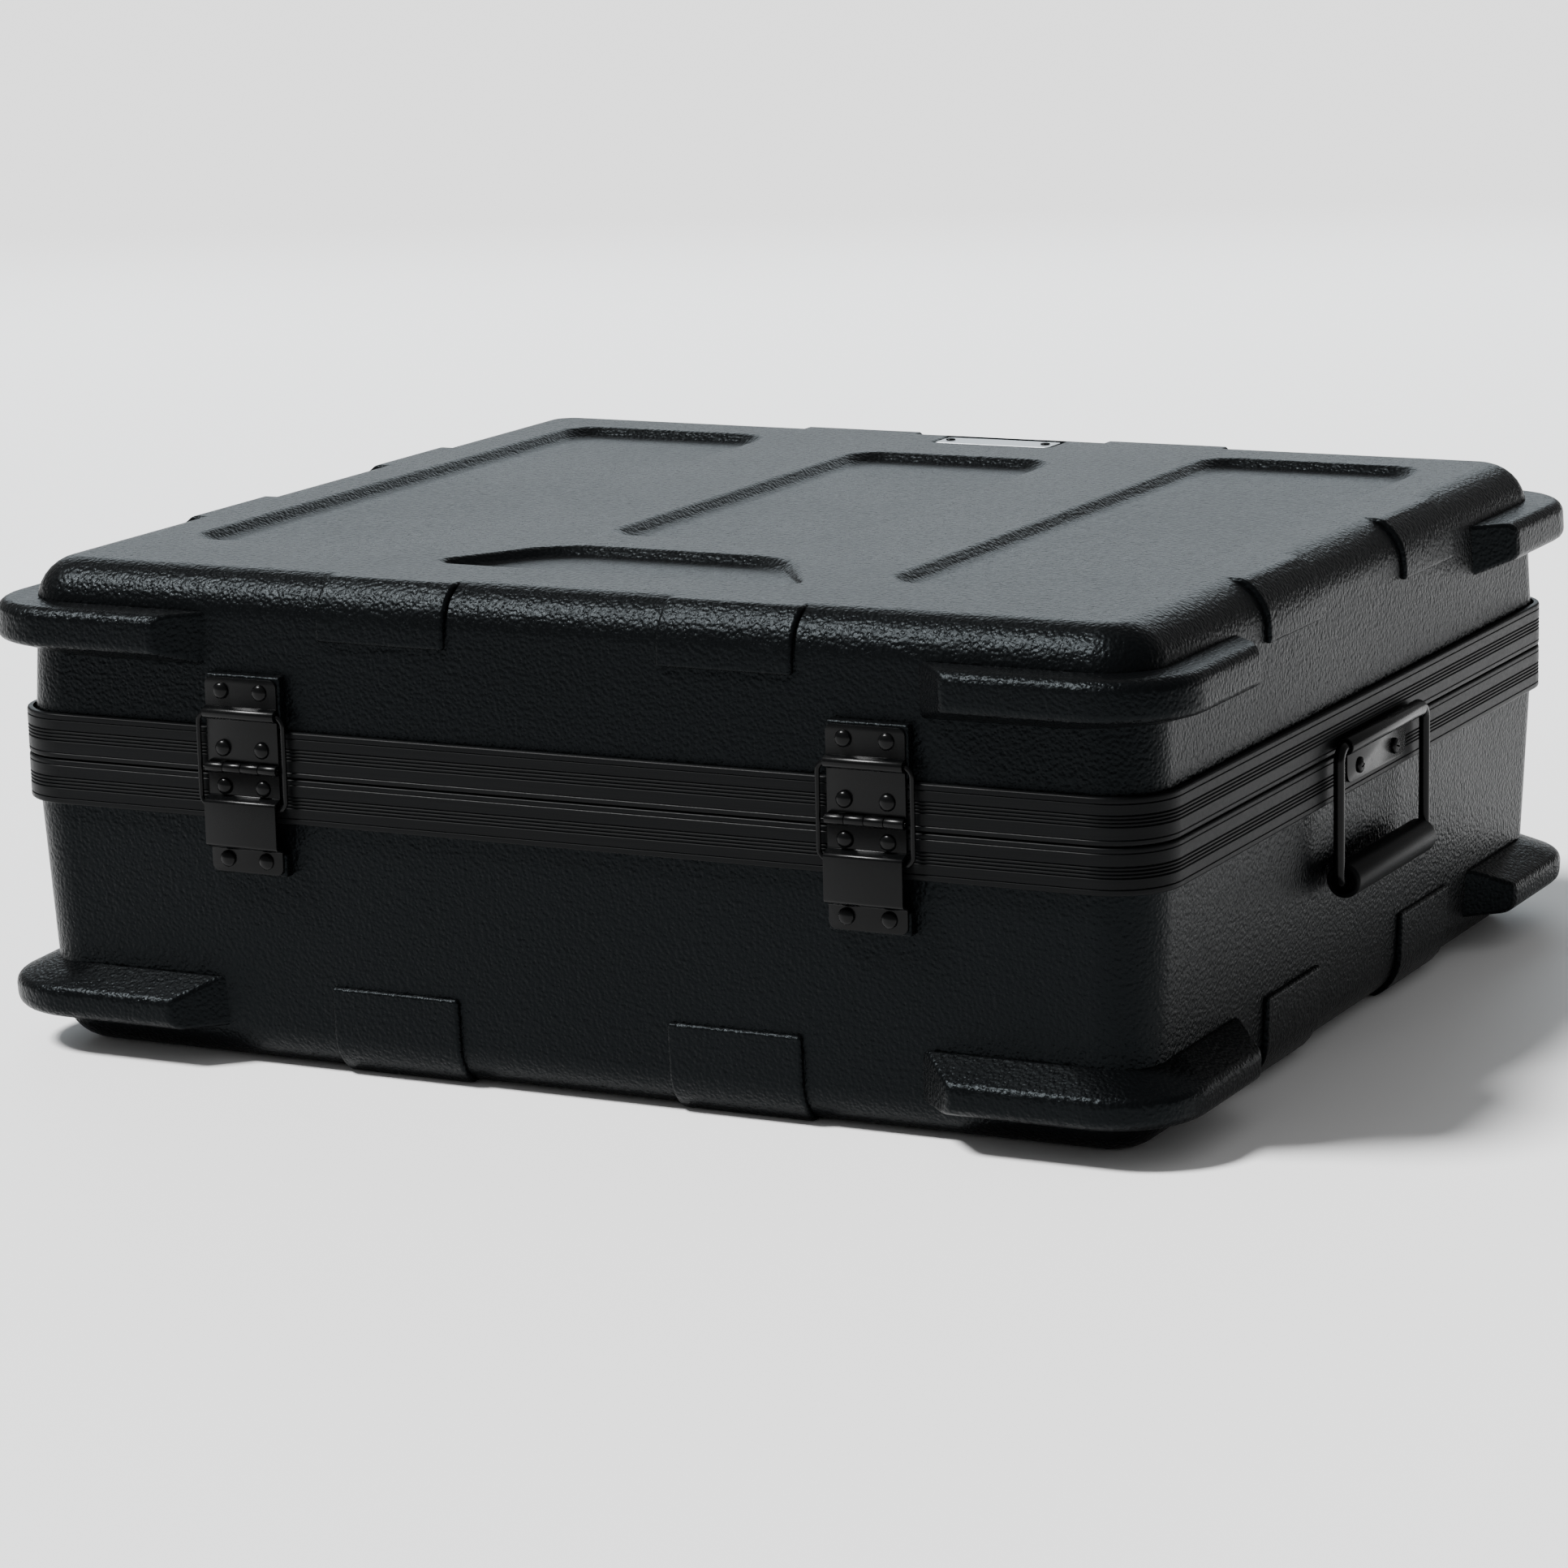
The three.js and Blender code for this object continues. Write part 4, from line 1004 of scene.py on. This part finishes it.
class CASE_OT_handles(bpy.types.Operator):
    """Model the three drop handles: brackets, bails, grips and screws"""

    bl_idname = "case.handles"
    bl_label = "Handles"

    roll_out = 5.2 * MM
    roll_up = 4.5 * MM
    drop = 73.5 * MM

    def execute(self, context):
        low_bar = self.roll_up - self.drop
        bail = wire_loop(
            "bail", half=67.5 * MM, top=self.roll_up, bottom=low_bar, out=self.roll_out,
            top_corner=7 * MM, bottom_corner=5.5 * MM, radius=3.1 * MM,
        )
        masters = [
            (self.bracket(), "bracket", "base", "hardware"),
            (bail, "bail", None, "hardware"),
            (self.grip(low_bar), "grip", None, "grip"),
            (self.screws(), "screws", "base", "hardware"),
        ]
        for master, _, _, _ in masters:
            smooth(master, weighted=False)
        places = {
            "left": on_wall(math.pi / 2, WIDTH / 2, 0),
            "right": on_wall(-math.pi / 2, WIDTH / 2, 0),
            "front": on_wall(math.pi, DEPTH / 2, 0),
        }
        for side, place in places.items():
            for master, part, body, slot in masters:
                node = f"handle_{side}_{part}"
                piece = twin_of(master, f"{node}_skin", place)
                finish_piece(piece, body or f"handle_{side}", slot, material(slot), node)
        for master, _, _, _ in masters:
            bpy.data.objects.remove(master)
        return {"FINISHED"}

    def bracket(self):
        """A sheet rolled round the wire, its flange narrower than the roll and rounded below."""
        turn = arc((self.roll_out, self.roll_up), 4.15 * MM, 215, -90, 20)
        roll = bent_sheet("roll", turn, 58 * MM, (), thickness=1.4 * MM)
        end = -19 * MM
        line = [(SHEET_OUT, end), (SHEET_OUT, self.roll_up + 0.5 * MM)]
        flange = bent_sheet("flange", line, 46 * MM, (end,), corner=7 * MM)
        return join("bracket", [roll, flange])

    def grip(self, height):
        """A tube with open ends, through which the wire runs."""
        half, radius, edge = 61.5 * MM, 9.75 * MM, 1.6 * MM
        inner = half - 7 * MM
        upper = [(3.2 * MM, inner), (6.6 * MM, inner), (7.4 * MM, half)]
        upper += arc((radius - edge, half - edge), edge, 90, 0, 4)
        profile = [(out, -along) for out, along in upper] + upper[::-1]
        piece = lathe("grip", profile, sides=40)
        lying = Matrix.Rotation(math.pi / 2, 4, "Y")
        return placed(piece, Matrix.Translation((0, self.roll_out, height)) @ lying)

    def screws(self):
        """Pan heads with cross recesses."""
        tall = 2.6 * MM
        profile = dome(radius=4.5 * MM, rim=0.7 * MM, tall=tall, steps=6)
        parts = []
        for side in (-1, 1):
            piece = lathe("head", profile, sides=32)
            for turn in (0.3, 0.3 + math.pi / 2):
                low = (-2.4 * MM, -0.5 * MM, tall - 1.5 * MM)
                slot = block("slot", low, (2.4 * MM, 0.5 * MM, tall + MM))
                boolean(piece, turned(slot, turn * side), "DIFFERENCE")
            spot = (side * 27.5 * MM, HEAD_OUT, -11.5 * MM)
            parts.append(placed(piece, Matrix.Translation(spot) @ OUTWARD))
        return join("screws", parts)


class CASE_OT_latches(bpy.types.Operator):
    """Model the two latches: plates, levers, hooks, locks, keepers and rivets"""

    bl_idname = "case.latches"
    bl_label = "Latches"

    def execute(self, context):
        for side in ("left", "right"):
            name = f"latch_{side}"
            dress(f"{name}_plate", "base", "hardware", sizes().sheet_edge)
            for part in ("lever", "hook", "lock"):
                dress(f"{name}_{part}", f"{name}_{part}", "hardware", sizes().sheet_edge)
            dress(f"{name}_keeper", "lid", "hardware", sizes().sheet_edge)
            low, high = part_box(f"{name}_plate")
            place = on_wall(math.pi, DEPTH / 2, -(low.x + high.x) / 2)
            for part, body, half, rows in (
                ("plate_rivets", "base", 28.5 * MM, (-12 * MM, -50 * MM)),
                ("keeper_rivets", "lid", 11.5 * MM, (38 * MM,)),
            ):
                node = f"{name}_{part}"
                piece = placed(rivets(f"{node}_skin", half, rows), place)
                smooth(piece, weighted=False)
                finish_piece(piece, body, "hardware", material("hardware"), node)
        return {"FINISHED"}


class CASE_OT_linings(bpy.types.Operator):
    """Model the foam linings of the base and the lid"""

    bl_idname = "case.linings"
    bl_label = "Foam linings"

    def execute(self, context):
        for node, body in (("base_wall_foam", "base"), ("base_floor_foam", "base"), ("lid_foam", "lid")):
            piece = dress(node, body, "foam", 1.5 * MM)
        return {"FINISHED"}


class CASE_OT_rack(bpy.types.Operator):
    """Model the rack rails, their end frames and screws"""

    bl_idname = "case.rack"
    bl_label = "Rack frame"

    def execute(self, context):
        for side in ("left", "right"):
            dress(f"rack_rail_{side}", "base", "rack", sizes().sheet_edge)
            for end in ("front", "rear"):
                dress(f"rack_screw_{side}_{end}", "base", "hardware", sizes().sheet_edge)
        for end in ("front", "rear"):
            dress(f"rack_frame_{end}", "base", "rack", sizes().sheet_edge)
        return {"FINISHED"}


class CASE_OT_label(bpy.types.Operator):
    """Model the blank plate on the lid and its two rivets"""

    bl_idname = "case.label"
    bl_label = "Label plate"

    def execute(self, context):
        dress("label_plate", "lid", "label", 0.3 * MM)
        for side in ("left", "right"):
            node = f"label_rivet_{side}"
            low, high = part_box(node)
            tall = 1.2 * MM
            profile = dome(radius=3 * MM, rim=0.3 * MM, tall=tall, steps=5)
            piece = lathe(f"{node}_skin", profile, sides=24)
            centre = (low + high) / 2
            placed(piece, Matrix.Translation((centre.x, centre.y, high.z - tall)))
            smooth(piece, weighted=False)
            finish_piece(piece, "lid", "hardware", material("hardware"), node)
        return {"FINISHED"}


class CASE_OT_stage(bpy.types.Operator):
    """Set up the floor, the lights and the camera"""

    bl_idname = "case.stage"
    bl_label = "Stage"

    def execute(self, context):
        deselect()
        bpy.ops.mesh.primitive_plane_add(size=30, location=(0, 0, -0.5 * MM))
        floor = settle("studio_floor")
        shader = Shader("studio_floor")
        white = shader.set({"Base Color": (0.93, 0.93, 0.93, 1), "Roughness": 0.6})
        floor.data.materials.append(white)
        world = bpy.data.worlds.new("studio")
        world.use_nodes = True
        sky = world.node_tree.nodes["Background"]
        sky.inputs["Color"].default_value = (1, 1, 1, 1)
        sky.inputs["Strength"].default_value = 0.35
        context.scene.world = world
        self.sun(8.0)
        self.softbox("back", place=(1.7, -3.3, 1.6), wide=3.4, tall=1.6, power=40)
        self.camera(context)
        return {"FINISHED"}

    @staticmethod
    def sun(strength):
        light = bpy.data.lights.new("sun", "SUN")
        light.energy = strength
        light.angle = math.radians(14)
        lamp = bpy.data.objects.new("sun", light)
        bpy.context.scene.collection.objects.link(lamp)
        lamp.rotation_euler = Vector((-0.44, -0.34, -0.83)).to_track_quat("-Z", "Y").to_euler()

    @staticmethod
    def softbox(name, place, wide, tall, power):
        light = bpy.data.lights.new(name, "AREA")
        light.shape = "RECTANGLE"
        light.size = wide
        light.size_y = tall
        light.energy = power
        light.color = (0.82, 0.93, 1.0)
        lamp = bpy.data.objects.new(name, light)
        bpy.context.scene.collection.objects.link(lamp)
        lamp.location = place
        aim = Vector((0, 0, 0.15)) - Vector(place)
        lamp.rotation_euler = aim.to_track_quat("-Z", "Y").to_euler()

    @staticmethod
    def camera(context):
        """A long lens from behind the hinge side, a little above the lid."""
        azimuth, elevation, roll = (math.radians(angle) for angle in (206.81, 12.57, -1.334))
        level = math.cos(elevation)
        back = Vector((
            math.sin(azimuth) * level, -math.cos(azimuth) * level, math.sin(elevation)
        ))
        right = Vector((0, 0, 1)).cross(back).normalized()
        up = back.cross(right)
        turned_right = math.cos(roll) * right + math.sin(roll) * up
        turned_up = math.cos(roll) * up - math.sin(roll) * right
        data = bpy.data.cameras.new("view")
        data.sensor_width = 36
        data.lens = 120.248
        data.shift_y = 0.0325
        data.clip_end = 60
        camera = bpy.data.objects.new("view", data)
        context.scene.collection.objects.link(camera)
        place = Vector((-1.3258, 2.6616, PARTING + 0.5794))
        axes = Matrix((turned_right, turned_up, back)).transposed().to_4x4()
        camera.matrix_world = Matrix.Translation(place) @ axes
        context.scene.camera = camera


class CASE_PT_panel(bpy.types.Panel):
    """The case's operators and settings in the sidebar"""

    bl_idname = "CASE_PT_panel"
    bl_label = "Rack case"
    bl_space_type = "VIEW_3D"
    bl_region_type = "UI"
    bl_category = "Rack case"

    def draw(self, context):
        for operator in OPERATORS:
            self.layout.operator(operator.bl_idname)
        for group in (context.scene.case_sizes, context.scene.case_colours):
            for name in group.bl_rna.properties.keys():
                if name not in ("rna_type", "name"):
                    self.layout.prop(group, name)


OPERATORS = (
    CASE_OT_stage, CASE_OT_lid_shell, CASE_OT_base_shell, CASE_OT_valances, CASE_OT_hinges,
    CASE_OT_handles, CASE_OT_latches, CASE_OT_linings, CASE_OT_rack, CASE_OT_label,
)
CLASSES = (CaseSizes, CaseColours, *OPERATORS, CASE_PT_panel)


def register():
    for item in CLASSES:
        bpy.utils.register_class(item)
    bpy.types.Scene.case_sizes = PointerProperty(type=CaseSizes)
    bpy.types.Scene.case_colours = PointerProperty(type=CaseColours)


def unregister():
    del bpy.types.Scene.case_colours
    del bpy.types.Scene.case_sizes
    for item in reversed(CLASSES):
        bpy.utils.unregister_class(item)


def main():
    register()
    for operator in OPERATORS:
        group, name = operator.bl_idname.split(".")
        getattr(getattr(bpy.ops, group), name)()
    for node, piece in frame["nodes"].items():
        slot = next(row["material_slot"] for row in frame["record"]["subparts"] if row["node"] == node)
        piece.data.materials.clear()
        piece.data.materials.append(material(slot))


if __name__ == "__main__":
    main()
